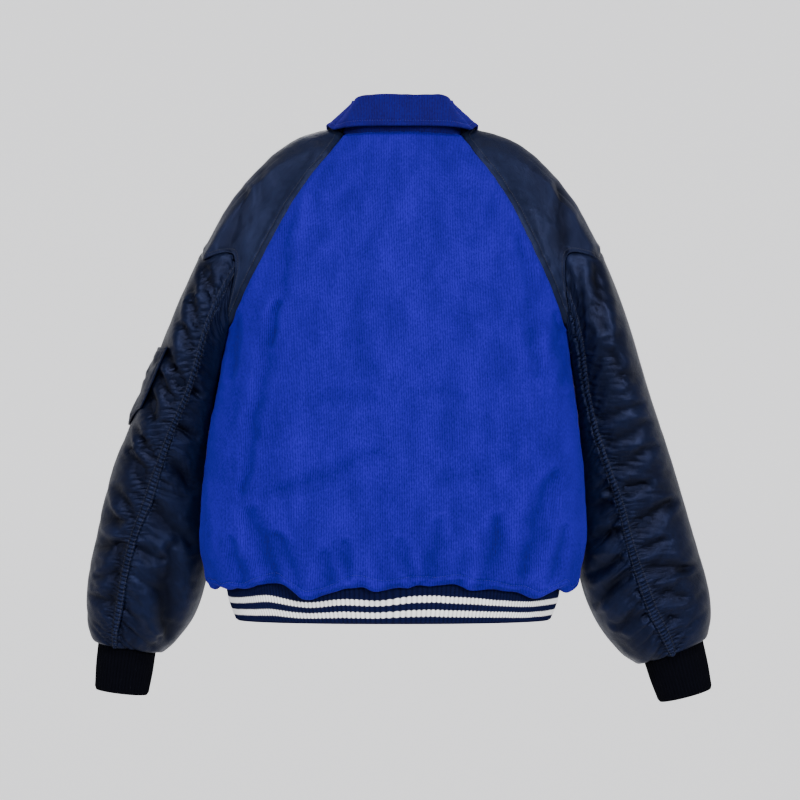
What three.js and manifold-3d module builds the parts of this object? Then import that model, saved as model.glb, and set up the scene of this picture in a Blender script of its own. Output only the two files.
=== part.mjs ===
// Padded bomber jacket with raglan shoulders, filled out as when worn. Millimetres, +Z up.
// The origin is the neck point: the middle of the neck opening at the height of the shoulder
// seams' top. The front faces -Y, the back +Y, and the wearer's left is +X.
// Each piece is a cloth wall: an outer and an inner grid of points, closed round its edges.
import * as THREE from 'three';
import { mergeVertices } from 'three/addons/utils/BufferGeometryUtils.js';
import Module from 'manifold-3d';

// ---- Driving dimensions ---------------------------------------------------------------

const BODY_WALL = 3.4; // corduroy with light padding
const SLEEVE_WALL = 3.8; // nylon with padding
const RIB_WALL = 2.6; // knitted rib, between its inside and the bottom of its furrows
const COLLAR_WALL = 2.6; // two layers of corduroy with interlining
const SEAM_GAP = 0.4; // between two pieces that are sewn together
const TUCK_GAP = 1.1; // between the hem's rib and the cloth gathered onto it
const WRIST_GAP = 2.7; // the same at the cuffs, where the gathers stand further off
const ARM_CLEARANCE = 3.5; // between the hanging sleeve and the body
const SECTION_POWER = 2.3; // 2 is an ellipse, more is squarer

// Level sections of the body: half width, the line (y) where it is widest, and its back and front.
const TORSO = [
  { z: 12, half: 70, line: 5, back: 55, front: -20 },
  { z: -5, half: 85, line: 8, back: 62, front: -35 },
  { z: -28, half: 116, line: 12, back: 78, front: -54 },
  { z: -72, half: 164, line: 17, back: 101, front: -80 },
  { z: -105, half: 190, line: 21, back: 113, front: -95 },
  { z: -138, half: 206, line: 24, back: 122, front: -106 },
  { z: -186, half: 220, line: 27, back: 133, front: -118 },
  { z: -235, half: 226, line: 28, back: 139, front: -127 },
  { z: -272, half: 228, line: 29, back: 142, front: -132 },
  { z: -310, half: 233, line: 30, back: 143, front: -135 },
  { z: -360, half: 241, line: 30, back: 144, front: -137 },
  { z: -430, half: 251, line: 30, back: 144, front: -138 },
  { z: -500, half: 257, line: 30, back: 143, front: -136 },
  { z: -565, half: 257, line: 29, back: 141, front: -132 },
  { z: -600, half: 250, line: 28, back: 137, front: -127 },
];
const HEM_Z = -600; // where the body's cloth starts to roll under onto the rib
const LEAN = { neck: -3, hem: 9, over: 520 }; // the jacket hangs a little towards its left

// How the body's cloth puffs over the rib and turns up to its seam, from HEM_Z downwards:
// share of the way in to the rib, and how far down.
const HEM_ROLL = [
  { inward: 0, down: 0 },
  { inward: 0.12, down: 8 },
  { inward: 0.5, down: 13 },
  { inward: 0.88, down: 9 },
  { inward: 1, down: 1 },
];
const HEM_WAVES = { count: 13, rise: 4.5 }; // soft waves of the rolled edge round the hem

// The raglan seam on the body, from the neck to the armpit: height, and angle from the side line.
const RAGLAN = [
  { backZ: -5, backAngle: 25, frontZ: -28, frontAngle: 54.7 },
  { backZ: -30, backAngle: 38.5, frontZ: -52, frontAngle: 54 },
  { backZ: -70, backAngle: 41.6, frontZ: -80, frontAngle: 53 },
  { backZ: -105, backAngle: 41.4, frontZ: -108, frontAngle: 51.5 },
  { backZ: -142, backAngle: 38.8, frontZ: -142, frontAngle: 47 },
  { backZ: -186, backAngle: 32.8, frontZ: -186, frontAngle: 38.5 },
  { backZ: -232, backAngle: 22.5, frontZ: -232, frontAngle: 26 },
  { backZ: -262, backAngle: 12.5, frontZ: -262, frontAngle: 14 },
  { backZ: -272, backAngle: 0, frontZ: -272, frontAngle: 0 },
];
const ARMPIT_Z = -272;
const NECK_FRONT_Z = -72;
const NECK_SIDE = { x: 87, y: -2, z: 1 }; // the neck opening over the shoulder
const FRONT_EDGE = 6; // from the centre front to the edge of each front, beside the zip

// Sections of each hanging sleeve, from the armpit to the wrist. x is out from the middle,
// tilt raises the outer side, and seam is the angle of the shirred back seam from the inner side.
const ARMS = {
  left: [
    { z: -300, x: 278, y: -3, half: 44, depth: 91, tilt: 0, seam: 82 },
    { z: -350, x: 290, y: -10, half: 50, depth: 87, tilt: 0, seam: 84 },
    { z: -400, x: 305, y: -18, half: 55, depth: 82, tilt: 0, seam: 90 },
    { z: -450, x: 319, y: -27, half: 61, depth: 78, tilt: 0, seam: 95 },
    { z: -500, x: 327, y: -36, half: 67, depth: 74, tilt: 1, seam: 102 },
    { z: -550, x: 333, y: -44, half: 72, depth: 71, tilt: 3, seam: 109 },
    { z: -600, x: 339, y: -52, half: 77, depth: 69, tilt: 5, seam: 112 },
    { z: -645, x: 347, y: -59, half: 74, depth: 65, tilt: 8, seam: 114 },
    { z: -680, x: 358, y: -64, half: 62, depth: 57, tilt: 10, seam: 115 },
    { z: -698, x: 364, y: -66, half: 49, depth: 48, tilt: 10, seam: 115 },
    { z: -700, x: 366, y: -67, half: 43, depth: 41, tilt: 10, seam: 115 },
  ],
  right: [
    { z: -300, x: 281, y: -3, half: 44, depth: 91, tilt: 0, seam: 41 },
    { z: -350, x: 293, y: -10, half: 49, depth: 87, tilt: 0, seam: 43 },
    { z: -400, x: 306, y: -18, half: 55, depth: 82, tilt: 0, seam: 47 },
    { z: -450, x: 318, y: -27, half: 61, depth: 78, tilt: 0, seam: 56 },
    { z: -500, x: 328, y: -36, half: 67, depth: 74, tilt: 1, seam: 69 },
    { z: -550, x: 336, y: -44, half: 74, depth: 71, tilt: 3, seam: 76 },
    { z: -600, x: 343, y: -52, half: 81, depth: 70, tilt: 8, seam: 80 },
    { z: -645, x: 356, y: -59, half: 79, depth: 67, tilt: 14, seam: 86 },
    { z: -682, x: 371, y: -64, half: 68, depth: 60, tilt: 19, seam: 90 },
    { z: -703, x: 381, y: -66, half: 53, depth: 50, tilt: 21, seam: 91 },
    { z: -706, x: 385, y: -67, half: 46, depth: 43, tilt: 21, seam: 91 },
  ],
};

// The seam between shoulder and sleeve: share of the way from the raglan seam to the armpit
// section, by place round the arm (0 and 1 at the armpit, 0.5 over the shoulder).
const DROP_SEAM = [
  { at: 0, share: 0.4 },
  { at: 0.1, share: 0.36 },
  { at: 0.2, share: 0.42 },
  { at: 0.29, share: 0.58 },
  { at: 0.38, share: 0.69 },
  { at: 0.5, share: 0.68 },
  { at: 0.62, share: 0.69 },
  { at: 0.71, share: 0.58 },
  { at: 0.8, share: 0.42 },
  { at: 0.9, share: 0.36 },
  { at: 1, share: 0.4 },
];
const NECK_SHARE = { from: 0.42, to: 0.58 }; // part of the armhole loop that lies on the neck
const ROUND = { back: 10, neck: 3, front: 10 }; // columns round the arm, by part of that loop

// Troughs (depth above 0) and ridges (below 0), as lines seen from behind or in front.
// side is 1 on the back and -1 on the front.
const BODY_FOLDS = [
  { x0: 212, z0: -250, x1: 222, z1: -330, width: 12, depth: 4, side: 1 },
  { x0: -214, z0: -250, x1: -224, z1: -340, width: 12, depth: 4, side: 1 },
  { x0: 95, z0: -360, x1: 20, z1: -366, width: 14, depth: 2, side: 1 },
  { x0: 150, z0: -480, x1: 30, z1: -436, width: 15, depth: 2.6, side: 1 },
  { x0: 176, z0: -520, x1: 150, z1: -590, width: 13, depth: 4.5, side: 1 },
  { x0: 120, z0: -548, x1: 92, z1: -598, width: 12, depth: 4, side: 1 },
  { x0: 44, z0: -560, x1: 40, z1: -602, width: 12, depth: 4, side: 1 },
  { x0: -62, z0: -536, x1: -44, z1: -600, width: 13, depth: 4, side: 1 },
  { x0: -130, z0: -545, x1: -112, z1: -602, width: 13, depth: 4.5, side: 1 },
  { x0: -205, z0: -470, x1: -172, z1: -594, width: 16, depth: 5, side: 1 },
  { x0: 208, z0: -260, x1: 190, z1: -350, width: 13, depth: 4, side: -1 },
  { x0: -208, z0: -260, x1: -186, z1: -356, width: 13, depth: 4, side: -1 },
  { x0: 150, z0: -500, x1: 128, z1: -596, width: 15, depth: 4.5, side: -1 },
  { x0: 70, z0: -548, x1: 60, z1: -600, width: 12, depth: 3.5, side: -1 },
  { x0: -84, z0: -530, x1: -64, z1: -600, width: 13, depth: 4, side: -1 },
  { x0: -168, z0: -490, x1: -150, z1: -598, width: 15, depth: 4.5, side: -1 },
];
const SLEEVE_FOLDS = [
  { x0: 212, z0: -82, x1: 226, z1: -196, width: 12, depth: 9, side: 1 },
  { x0: -208, z0: -78, x1: -226, z1: -206, width: 12, depth: 10, side: 1 },
  { x0: -262, z0: -170, x1: -272, z1: -270, width: 12, depth: 4, side: 1 },
  { x0: 300, z0: -250, x1: 294, z1: -330, width: 11, depth: 4, side: 1 },
  { x0: 350, z0: -430, x1: 322, z1: -500, width: 11, depth: 6, side: 1 },
  { x0: 372, z0: -480, x1: 345, z1: -560, width: 10, depth: 5, side: 1 },
  { x0: 270, z0: -520, x1: 335, z1: -500, width: 11, depth: 5, side: 1 },
  { x0: 285, z0: -610, x1: 355, z1: -596, width: 12, depth: 6, side: 1 },
  { x0: 318, z0: -668, x1: 392, z1: -652, width: 10, depth: 6, side: 1 },
  { x0: -345, z0: -452, x1: -306, z1: -520, width: 10, depth: 6, side: 1 },
  { x0: -372, z0: -500, x1: -325, z1: -560, width: 10, depth: 6, side: 1 },
  { x0: -392, z0: -560, x1: -345, z1: -620, width: 11, depth: 6, side: 1 },
  { x0: -270, z0: -560, x1: -310, z1: -572, width: 11, depth: 5, side: 1 },
  { x0: -280, z0: -640, x1: -338, z1: -650, width: 11, depth: 6, side: 1 },
  { x0: -340, z0: -694, x1: -400, z1: -664, width: 10, depth: 6, side: 1 },
  { x0: 214, z0: -90, x1: 232, z1: -240, width: 13, depth: 8, side: -1 },
  { x0: -214, z0: -90, x1: -232, z1: -240, width: 13, depth: 8, side: -1 },
  { x0: 262, z0: -430, x1: 350, z1: -470, width: 13, depth: 6, side: -1 },
  { x0: 275, z0: -520, x1: 380, z1: -548, width: 13, depth: 6, side: -1 },
  { x0: 290, z0: -620, x1: 400, z1: -636, width: 12, depth: 6, side: -1 },
  { x0: -262, z0: -440, x1: -345, z1: -470, width: 13, depth: 6, side: -1 },
  { x0: -270, z0: -530, x1: -372, z1: -560, width: 13, depth: 6, side: -1 },
  { x0: -285, z0: -640, x1: -392, z1: -650, width: 12, depth: 6, side: -1 },
];
const SHIRRING = { count: 90, height: 1.7, width: 10 }; // small gathers down each back seam
const BAND_SHARE = SHIRRING.width / 450; // their width, as a share of the way round the arm

// The ribbed bands: sections, and ribs all round. The hem's opens at the zip.
const HEM_RIB = {
  ribs: 156,
  height: 1.1,
  line: 28,
  sections: [
    { z: -602, half: 224, back: 118, front: -117 },
    { z: -630, half: 219, back: 115, front: -117 },
    { z: -656, half: 209, back: 110, front: -117 },
  ],
};
const CUFF_RIBS = { count: 38, height: 1.0, length: 66, tuck: 3 };
const CUFFS = {
  left: { lean: 7, half: 36, depth: 32 },
  right: { lean: 15, half: 37, depth: 33 },
};

// The collar: fold and outer edge, out from and up from the neck seam, by place round the
// neck (0 at the centre back, 1 at the centre front).
const COLLAR = [
  { at: 0, foldOut: -5, foldUp: 48, edgeOut: 17, edgeUp: 6, edgeSide: 0 },
  { at: 0.22, foldOut: -9, foldUp: 47, edgeOut: 17, edgeUp: 6, edgeSide: 0 },
  { at: 0.34, foldOut: -20, foldUp: 41, edgeOut: 17, edgeUp: 4, edgeSide: 0 },
  { at: 0.48, foldOut: -26, foldUp: 35, edgeOut: 15, edgeUp: 3, edgeSide: 0 },
  { at: 0.62, foldOut: -19, foldUp: 35, edgeOut: 20, edgeUp: -1, edgeSide: 2 },
  { at: 0.8, foldOut: -10, foldUp: 31, edgeOut: 23, edgeUp: -16, edgeSide: 16 },
  { at: 1, foldOut: -5, foldUp: 26, edgeOut: 24, edgeUp: -42, edgeSide: 44 },
];
const NECK_PARTS = { back: 0.34, side: 0.6 }; // where the raglan seams meet the collar

// Patch pocket on the outer side of the left sleeve, in places round and down the sleeve.
const POCKET = {
  wall: 2.2,
  gap: 0.5,
  puff: 7,
  backTop: 0.345,
  backBottom: 0.385,
  front: 0.64,
  top: 0.235,
  bottomBack: 0.36,
  bottom: 0.395,
};

// Zip: tape behind the front edges, closed, with its slider at the neck and its pull hanging.
const ZIP = { tapeHalf: 13, tapeWall: 1.4, behind: 1.1, top: -81, bottom: -655 };
const SLIDER = { width: 8, length: 11, height: 3, z: -90, seat: 0.3 };
const BRIDGE = { width: 3.2, outer: 2.6, hole: 1.5, up: 1 };
const PULL = { width: 9, length: 33, wall: 1.6, bar: 1.6, window: 5.4, windowLength: 7 };

// ---- Small tools for tables, walls and meshes ---------------------------------------------

const degrees = THREE.MathUtils.degToRad;
const mix = THREE.MathUtils.lerp;
const ease = (t) => THREE.MathUtils.smoothstep(t, 0, 1);

// Smooth value of a table's column at a row position that need not be whole.
function atRow(rows, column, position) {
  const place = THREE.MathUtils.clamp(position, 0, rows.length - 1);
  const row = Math.min(Math.floor(place), rows.length - 2);
  const t = place - row;
  const pick = (index) => rows[THREE.MathUtils.clamp(index, 0, rows.length - 1)][column];
  const [a, b, c, d] = [pick(row - 1), pick(row), pick(row + 1), pick(row + 2)];
  const bend = -a + 3 * b - 3 * c + d;
  return b + 0.5 * t * (c - a + t * (2 * a - 5 * b + 4 * c - d + t * bend));
}

// Row position of a value in a column that runs steadily up or down.
function rowOf(rows, column, value) {
  const last = rows.length - 1;
  const sense = Math.sign(rows[last][column] - rows[0][column]);
  let row = 0;
  while (row < last - 1 && sense * (value - rows[row + 1][column]) > 0) {
    row += 1;
  }
  const span = rows[row + 1][column] - rows[row][column];
  return THREE.MathUtils.clamp(row + (value - rows[row][column]) / span, 0, last);
}

// How far the folds push a point in, from its place seen from behind and how far it faces there.
function foldDepth(folds, point, normal) {
  let total = 0;
  for (const fold of folds) {
    const facing = THREE.MathUtils.clamp(2 * fold.side * normal.y, 0, 1);
    if (facing > 0) {
      const along = new THREE.Vector2(fold.x1 - fold.x0, fold.z1 - fold.z0);
      const offset = new THREE.Vector2(point.x - fold.x0, point.z - fold.z0);
      const share = THREE.MathUtils.clamp(offset.dot(along) / along.lengthSq(), 0, 1);
      const away = offset.addScaledVector(along, -share).length() / fold.width;
      total += facing * fold.depth * Math.exp(-away * away);
    }
  }
  return total;
}

// A piece's surface: place(u, v) gives points, and the wall is laid from normals worked out
// on it. level 0 is the outside and 1 the inside. lift raises the outside, as ribs do, and
// calm(u, v) fades the folds out towards seams, where a neighbour has none.
function wallPoint(surface, u, v, level, lift = 0) {
  const step = 1e-3;
  const point = surface.place(u, v);
  const acrossU = surface.place(u + step, v).sub(surface.place(u - step, v));
  const acrossV = surface.place(u, v + step).sub(surface.place(u, v - step));
  const normal = acrossU.cross(acrossV).normalize().multiplyScalar(surface.outward);
  const fold = surface.calm(u, v) * foldDepth(surface.folds, point, normal);
  const inward = fold + level * surface.wall - lift;
  return point.addScaledVector(normal, -inward);
}

// Collects triangles, joining two rows of points that may differ in number.
class Cloth {
  constructor() {
    this.points = [];
    this.faces = [];
  }

  row(points) {
    return points.map((point) => this.points.push(point) - 1);
  }

  // Of two rows alike, crossed picks the other diagonals.
  join(a, b, crossed = false) {
    const level = crossed ? -1e-9 : 1e-9;
    let i = 0;
    let j = 0;
    while (i < a.length - 1 || j < b.length - 1) {
      const nextA = (i + 1) / (a.length - 1);
      const nextB = (j + 1) / (b.length - 1);
      if (j === b.length - 1 || (i < a.length - 1 && nextA <= nextB + level)) {
        this.faces.push([a[i], b[j], a[i + 1]]);
        i += 1;
      } else {
        this.faces.push([a[i], b[j], b[j + 1]]);
        j += 1;
      }
    }
  }

  // Joins neighbouring rows into a sheet, and returns them.
  sheet(rows, flipped) {
    for (let i = 0; i < rows.length - 1; i += 1) {
      if (flipped) {
        this.join(rows[i + 1], rows[i]);
      } else {
        this.join(rows[i], rows[i + 1]);
      }
    }
    return rows;
  }

  geometry() {
    const volume = this.faces.reduce((sum, [a, b, c]) => {
      const [p, q, r] = [this.points[a], this.points[b], this.points[c]];
      return sum + p.dot(q.clone().cross(r));
    }, 0);
    const order = volume < 0 ? this.faces.map(([a, b, c]) => [a, c, b]) : this.faces;
    const geometry = new THREE.BufferGeometry();
    const flat = this.points.flatMap((point) => point.toArray());
    geometry.setAttribute('position', new THREE.Float32BufferAttribute(flat, 3));
    geometry.setIndex(order.flat());
    return geometry;
  }
}

// A closed wall from rows of outer and inner points. Rows run across the piece's u, and each
// holds the points along v. In a tube the last row is joined to the first.
function wallGeometry(outerRows, innerRows, tube = false) {
  const cloth = new Cloth();
  const outer = outerRows.map((points) => cloth.row(points));
  const inner = innerRows.map((points) => cloth.row(points));
  if (tube) {
    outer.push(outer[0]);
    inner.push(inner[0]);
  }
  cloth.sheet(outer, false);
  cloth.sheet(inner, true);
  const first = (rows) => rows.map((row) => row[0]);
  const last = (rows) => rows.map((row) => row[row.length - 1]);
  // Edges that meet along a seam have their diagonals the same way.
  cloth.join(first(outer), first(inner));
  cloth.join(last(inner), last(outer), true);
  if (!tube) {
    cloth.join(inner[0], outer[0], true);
    cloth.join(outer[outer.length - 1], inner[inner.length - 1]);
  }
  return cloth.geometry();
}

// Even steps from one value to another, ends included.
function steps(count, from = 0, to = 1) {
  return Array.from({ length: count + 1 }, (_, i) => mix(from, to, i / count));
}

// A plain wall on a surface: even grids of its u and v.
function panel(surface, us, vs) {
  const grid = (level) => us.map((u) => vs.map((v) => wallPoint(surface, u, v, level)));
  return wallGeometry(grid(0), grid(1));
}

const jacket = new THREE.Group();

// How far to its left the jacket hangs at a height.
const leanAt = (z) => mix(LEAN.neck, LEAN.hem, ease(-z / LEAN.over));

// Adds a cloth piece, leaning with the whole jacket.
function addCloth(name, geometry, color, roughness) {
  const position = geometry.attributes.position;
  for (let i = 0; i < position.count; i += 1) {
    position.setX(i, position.getX(i) + leanAt(position.getZ(i)));
  }
  return addPiece(name, geometry, color, roughness);
}

function addPiece(name, geometry, color, roughness, metalness = 0) {
  const material = new THREE.MeshStandardMaterial({ color, roughness, metalness });
  const mesh = new THREE.Mesh(geometry, material);
  mesh.name = name;
  jacket.add(mesh);
  return mesh;
}

const CORDUROY = 0x1f36ae;
const NYLON = 0x1f2840;
const SHOULDER_NYLON = 0x29334e;
const BAND_KNIT = 0x0f1232;
const CUFF_KNIT = 0x06070c;
const ZIP_TAPE = 0x0b0d16;
const NICKEL = 0x9a9ca0;

// ---- Body: one back and two fronts, in corduroy ---------------------------------------------

// Turns a circle's sine or cosine into that of a squarer section.
const bow = (value) => Math.sign(value) * Math.abs(value) ** (2 / SECTION_POWER);

// Point of the body at an angle from the side line (90 at the centre back) and a height.
function torso(angle, z) {
  const row = rowOf(TORSO, 'z', z);
  const half = atRow(TORSO, 'half', row);
  const line = atRow(TORSO, 'line', row);
  const c = Math.cos(angle);
  const s = Math.sin(angle);
  const depth = s > 0 ? atRow(TORSO, 'back', row) - line : line - atRow(TORSO, 'front', row);
  return new THREE.Vector3(half * bow(c), line + depth * bow(s), z);
}

// Angle whose torso point lies x out from the middle, at a height.
function torsoAngle(x, z) {
  const half = atRow(TORSO, 'half', rowOf(TORSO, 'z', z));
  return Math.acos((x / half) ** (SECTION_POWER / 2));
}

// Inside of the hem's rib at an angle: share 0 is its top and 1 its bottom. out moves it
// outwards, in the level plane.
function hemRibPoint(angle, share, out) {
  const row = share * (HEM_RIB.sections.length - 1);
  const half = atRow(HEM_RIB.sections, 'half', row) - RIB_WALL + out;
  const back = atRow(HEM_RIB.sections, 'back', row) - RIB_WALL + out;
  const front = atRow(HEM_RIB.sections, 'front', row) + RIB_WALL - out;
  const c = Math.cos(angle);
  const s = Math.sin(angle);
  const depth = s > 0 ? back - HEM_RIB.line : HEM_RIB.line - front;
  const z = atRow(HEM_RIB.sections, 'z', row);
  return new THREE.Vector3(half * bow(c), HEM_RIB.line + depth * bow(s), z);
}

// The hem's roll: below HEM_Z the cloth goes down, in, and up again, in soft waves.
function hemRoll(angle, roll) {
  const edge = torso(angle, HEM_Z);
  const rib = hemRibPoint(angle, 0, RIB_WALL + HEM_RIB.height + TUCK_GAP);
  const wave = Math.cos(HEM_WAVES.count * angle) * Math.cos(2 * angle + 0.6);
  const down = atRow(HEM_ROLL, 'down', roll);
  edge.lerp(rib.setZ(HEM_Z), atRow(HEM_ROLL, 'inward', roll));
  edge.z -= down + (down / 12) * HEM_WAVES.rise * wave;
  return edge;
}

const LAST_ROLL = HEM_ROLL.length - 1;
const LAST_SEAM = RAGLAN.length - 1;
const BODY_ROWS = { roll: 5, lower: 7, upper: 10 };

// v runs up a body panel: -1 to 0 is the hem's roll, 0 to 1 from hem to armpit,
// 1 to 2 from armpit to neck.
function bodyRows() {
  const edge = 0.002;
  return [
    ...steps(BODY_ROWS.roll, -1, 0).slice(0, -1),
    ...steps(BODY_ROWS.lower, 0, 1).slice(0, -1),
    ...steps(BODY_ROWS.upper, 1, 2 - edge),
  ];
}

// Side seams lie a little in front of the side line below the armpit.
const SIDE_SEAM = degrees(-4);
const sideSeam = (z) => SIDE_SEAM * ease((ARMPIT_Z - z) / 90);
const insetAngle = (gap) => gap / 300; // half the gap, at the body's usual half width

const backPanel = {
  wall: BODY_WALL,
  outward: 1,
  folds: BODY_FOLDS,
  calm: (u) => ease(Math.min(u, 1 - u) / 0.08),
  // u runs from the wearer's left seam (0) to the right one (1).
  place(u, v) {
    const z = v <= 1 ? mix(HEM_Z, ARMPIT_Z, v) : atRow(RAGLAN, 'backZ', LAST_SEAM * (2 - v));
    const seam = v <= 1 ? sideSeam(z) : degrees(atRow(RAGLAN, 'backAngle', LAST_SEAM * (2 - v)));
    const edge = seam + insetAngle(SEAM_GAP);
    const angle = mix(edge, Math.PI - edge, u);
    return v < 0 ? hemRoll(angle, -v * LAST_ROLL) : torso(angle, z);
  },
};
const BACK_COLUMNS = 18;

// Above the armpit the back has a row for each place that the shoulders have on its seams.
const shoulderPlaces = [ARMS.left, ARMS.right].flatMap((rows) => placesRound(rows).places);
const onBack = shoulderPlaces.filter((s) => s > 0.01 && s < NECK_SHARE.from - 0.01);
const raglanRows = [...new Set(onBack.map((s) => 1 + s / NECK_SHARE.from))].sort((a, b) => a - b);
const backRows = [...bodyRows().filter((v) => v <= 1), ...raglanRows, bodyRows().pop()];
addCloth('back', panel(backPanel, steps(BACK_COLUMNS), backRows), CORDUROY, 0.9);

// A front: u runs from the centre (0) to the raglan or side seam (1), on the side given.
function frontPanel(side) {
  return {
    wall: BODY_WALL,
    outward: side,
    folds: BODY_FOLDS,
    calm: (u) => ease(Math.min(u, 1 - u) / 0.12),
    place(u, v) {
      const seamRow = LAST_SEAM * (2 - v);
      const centreZ = v <= 1 ? mix(HEM_Z, ARMPIT_Z, v) : mix(ARMPIT_Z, NECK_FRONT_Z, v - 1);
      const seamZ = v <= 1 ? centreZ : atRow(RAGLAN, 'frontZ', seamRow);
      const z = mix(centreZ, seamZ, u * u);
      const seam = v <= 1 ? -sideSeam(z) : degrees(atRow(RAGLAN, 'frontAngle', seamRow));
      const edge = torsoAngle(FRONT_EDGE, z);
      const angle = -mix(edge, seam + insetAngle(SEAM_GAP), u);
      const point = v < 0 ? hemRoll(angle, -v * LAST_ROLL) : torso(angle, z);
      point.x *= side;
      return point;
    },
  };
}
const FRONT_COLUMNS = 10;
for (const [name, side] of [['front_left', 1], ['front_right', -1]]) {
  addCloth(name, panel(frontPanel(side), steps(FRONT_COLUMNS), bodyRows()), CORDUROY, 0.9);
}

// ---- Shoulders and sleeves, in nylon ---------------------------------------------------------

// The raglan seam's loop, by place round the arm: 0 at the armpit, up the back, over the
// neck's side between NECK_SHARE, and down the front to 1.
function armholeLoop(s) {
  const backTop = torso(degrees(RAGLAN[0].backAngle), RAGLAN[0].backZ);
  const frontTop = torso(-degrees(RAGLAN[0].frontAngle), RAGLAN[0].frontZ);
  if (s < NECK_SHARE.from) {
    const row = LAST_SEAM * (1 - s / NECK_SHARE.from);
    return torso(degrees(atRow(RAGLAN, 'backAngle', row)), atRow(RAGLAN, 'backZ', row));
  }
  if (s > NECK_SHARE.to) {
    const row = (LAST_SEAM * (s - NECK_SHARE.to)) / (1 - NECK_SHARE.to);
    return torso(-degrees(atRow(RAGLAN, 'frontAngle', row)), atRow(RAGLAN, 'frontZ', row));
  }
  const t = (s - NECK_SHARE.from) / (NECK_SHARE.to - NECK_SHARE.from);
  const top = new THREE.Vector3(NECK_SIDE.x, NECK_SIDE.y, NECK_SIDE.z);
  const control = top.multiplyScalar(2).addScaledVector(backTop, -0.5).addScaledVector(frontTop, -0.5);
  return new THREE.QuadraticBezierCurve3(backTop, control, frontTop).getPoint(t);
}

// The way the shoulder's cloth leaves the raglan seam: along the body's surface and square to
// the seam, but outwards and a little down beside the neck, and outwards and down at the armpit.
function leavingDirection(s) {
  const near = 0.03;
  const onSeam = (share, mirrored) => {
    const name = mirrored ? 'front' : 'back';
    const sense = mirrored ? -1 : 1;
    const row = LAST_SEAM * (1 - share / NECK_SHARE.from);
    const angle = sense * degrees(atRow(RAGLAN, `${name}Angle`, row));
    const z = atRow(RAGLAN, `${name}Z`, row);
    const down = torso(angle, z - 20).sub(torso(angle, z + 20));
    const round = torso(angle + near, z).sub(torso(angle - near, z));
    const loop = (place) => armholeLoop(mirrored ? 1 - place : place);
    const along = loop(Math.min(share + near, NECK_SHARE.from)).sub(loop(Math.max(share - near, 0)));
    const direction = along.normalize().cross(down.cross(round).normalize());
    return direction.multiplyScalar(Math.sign(direction.x) || 1);
  };
  const fromArmpit = Math.min(s, 1 - s);
  const direction = onSeam(Math.min(fromArmpit, NECK_SHARE.from), s > 0.5);
  const besideNeck = new THREE.Vector3(0.98, 0, -0.03);
  const turned = new THREE.Vector3(1, 0, -0.35);
  direction.lerp(besideNeck, ease((fromArmpit - 0.26) / 0.16));
  return direction.lerp(turned, 1 - ease(fromArmpit / 0.13)).normalize();
}

// Section of a hanging sleeve: place round it, and row position down its table.
function armSection(rows, s, row) {
  const turn = 2 * Math.PI * s;
  const out = -atRow(rows, 'half', row) * bow(Math.cos(turn));
  const tilt = degrees(atRow(rows, 'tilt', row));
  const x = atRow(rows, 'x', row) + out * Math.cos(tilt);
  const y = atRow(rows, 'y', row) + atRow(rows, 'depth', row) * bow(Math.sin(turn));
  return new THREE.Vector3(x, y, atRow(rows, 'z', row) + out * Math.sin(tilt));
}

// Moves a point of the sleeve out where it would press into the body.
function clearOfBody(point, clearance) {
  const row = rowOf(TORSO, 'z', point.z);
  const line = atRow(TORSO, 'line', row);
  const reach = point.y > line ? atRow(TORSO, 'back', row) : atRow(TORSO, 'front', row);
  const share = Math.min(Math.abs((point.y - line) / (reach - line)), 1);
  const bound = atRow(TORSO, 'half', row) * (1 - share ** SECTION_POWER) ** (1 / SECTION_POWER);
  const room = point.x - bound - clearance;
  const soft = 10;
  if (room < soft) {
    point.x = bound + clearance + soft * Math.exp(room / soft - 1);
  }
  return point;
}

// The whole sleeve from the neck to the wrist on the wearer's left: q from 0 to 1 spans the
// shoulder, as a cubic curve from the raglan seam to the arm's first section, and q above 1
// goes down the arm's sections, one for each whole step.
function sleevePoint(rows, s, q) {
  if (q >= 1) {
    return clearOfBody(armSection(rows, s, q - 1), ARM_CLEARANCE);
  }
  const start = armholeLoop(s);
  const end = armSection(rows, s, 0);
  const along = armSection(rows, s, 0.02).sub(end).normalize();
  const length = start.distanceTo(end);
  const leave = start.clone().addScaledVector(leavingDirection(s), 0.3 * length);
  const arrive = end.clone().addScaledVector(along, -0.42 * length);
  const curve = new THREE.CubicBezierCurve3(start, leave, arrive, end);
  const point = curve.getPoint(Math.max(q, 0));
  return clearOfBody(point, ARM_CLEARANCE * ease(2 * q) - 8 * (1 - ease(3 * q)));
}

const dropSeam = (s) => atRow(DROP_SEAM, 'share', rowOf(DROP_SEAM, 'at', s));

// The seam gap as a share of the shoulder's length, at a place round the arm: wider at the
// armpit, where the cloth turns sharply.
function seamShare(rows, s) {
  const gap = SEAM_GAP * mix(1.6, 1, ease(Math.min(s, 1 - s) / 0.15));
  return gap / armholeLoop(s).distanceTo(armSection(rows, s, 0));
}

// Places round the arm where the pieces have their points: even along the back and front of
// the armhole, to match the body, and two more beside the shirred seam's upper end.
function placesRound(rows) {
  const fromArmpit = (count) => steps(count, 0.002, NECK_SHARE.from);
  const whole = [
    ...fromArmpit(ROUND.back).slice(0, -1),
    ...steps(ROUND.neck, NECK_SHARE.from, NECK_SHARE.to).slice(0, -1),
    ...fromArmpit(ROUND.front).map((place) => 1 - place).reverse(),
  ];
  const seam = seamIndex(whole, rows);
  const beside = [0.5, 1].map((share) => whole[seam] + share * BAND_SHARE);
  return { places: [...whole.slice(0, seam + 1), ...beside, ...whole.slice(seam + 1)], seam };
}

// Which of the places is nearest the shirred seam's upper end.
function seamIndex(places, rows) {
  const wanted = rows[0].seam / 360;
  const distance = places.map((place) => Math.abs(place - wanted));
  return distance.indexOf(Math.min(...distance));
}

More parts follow.
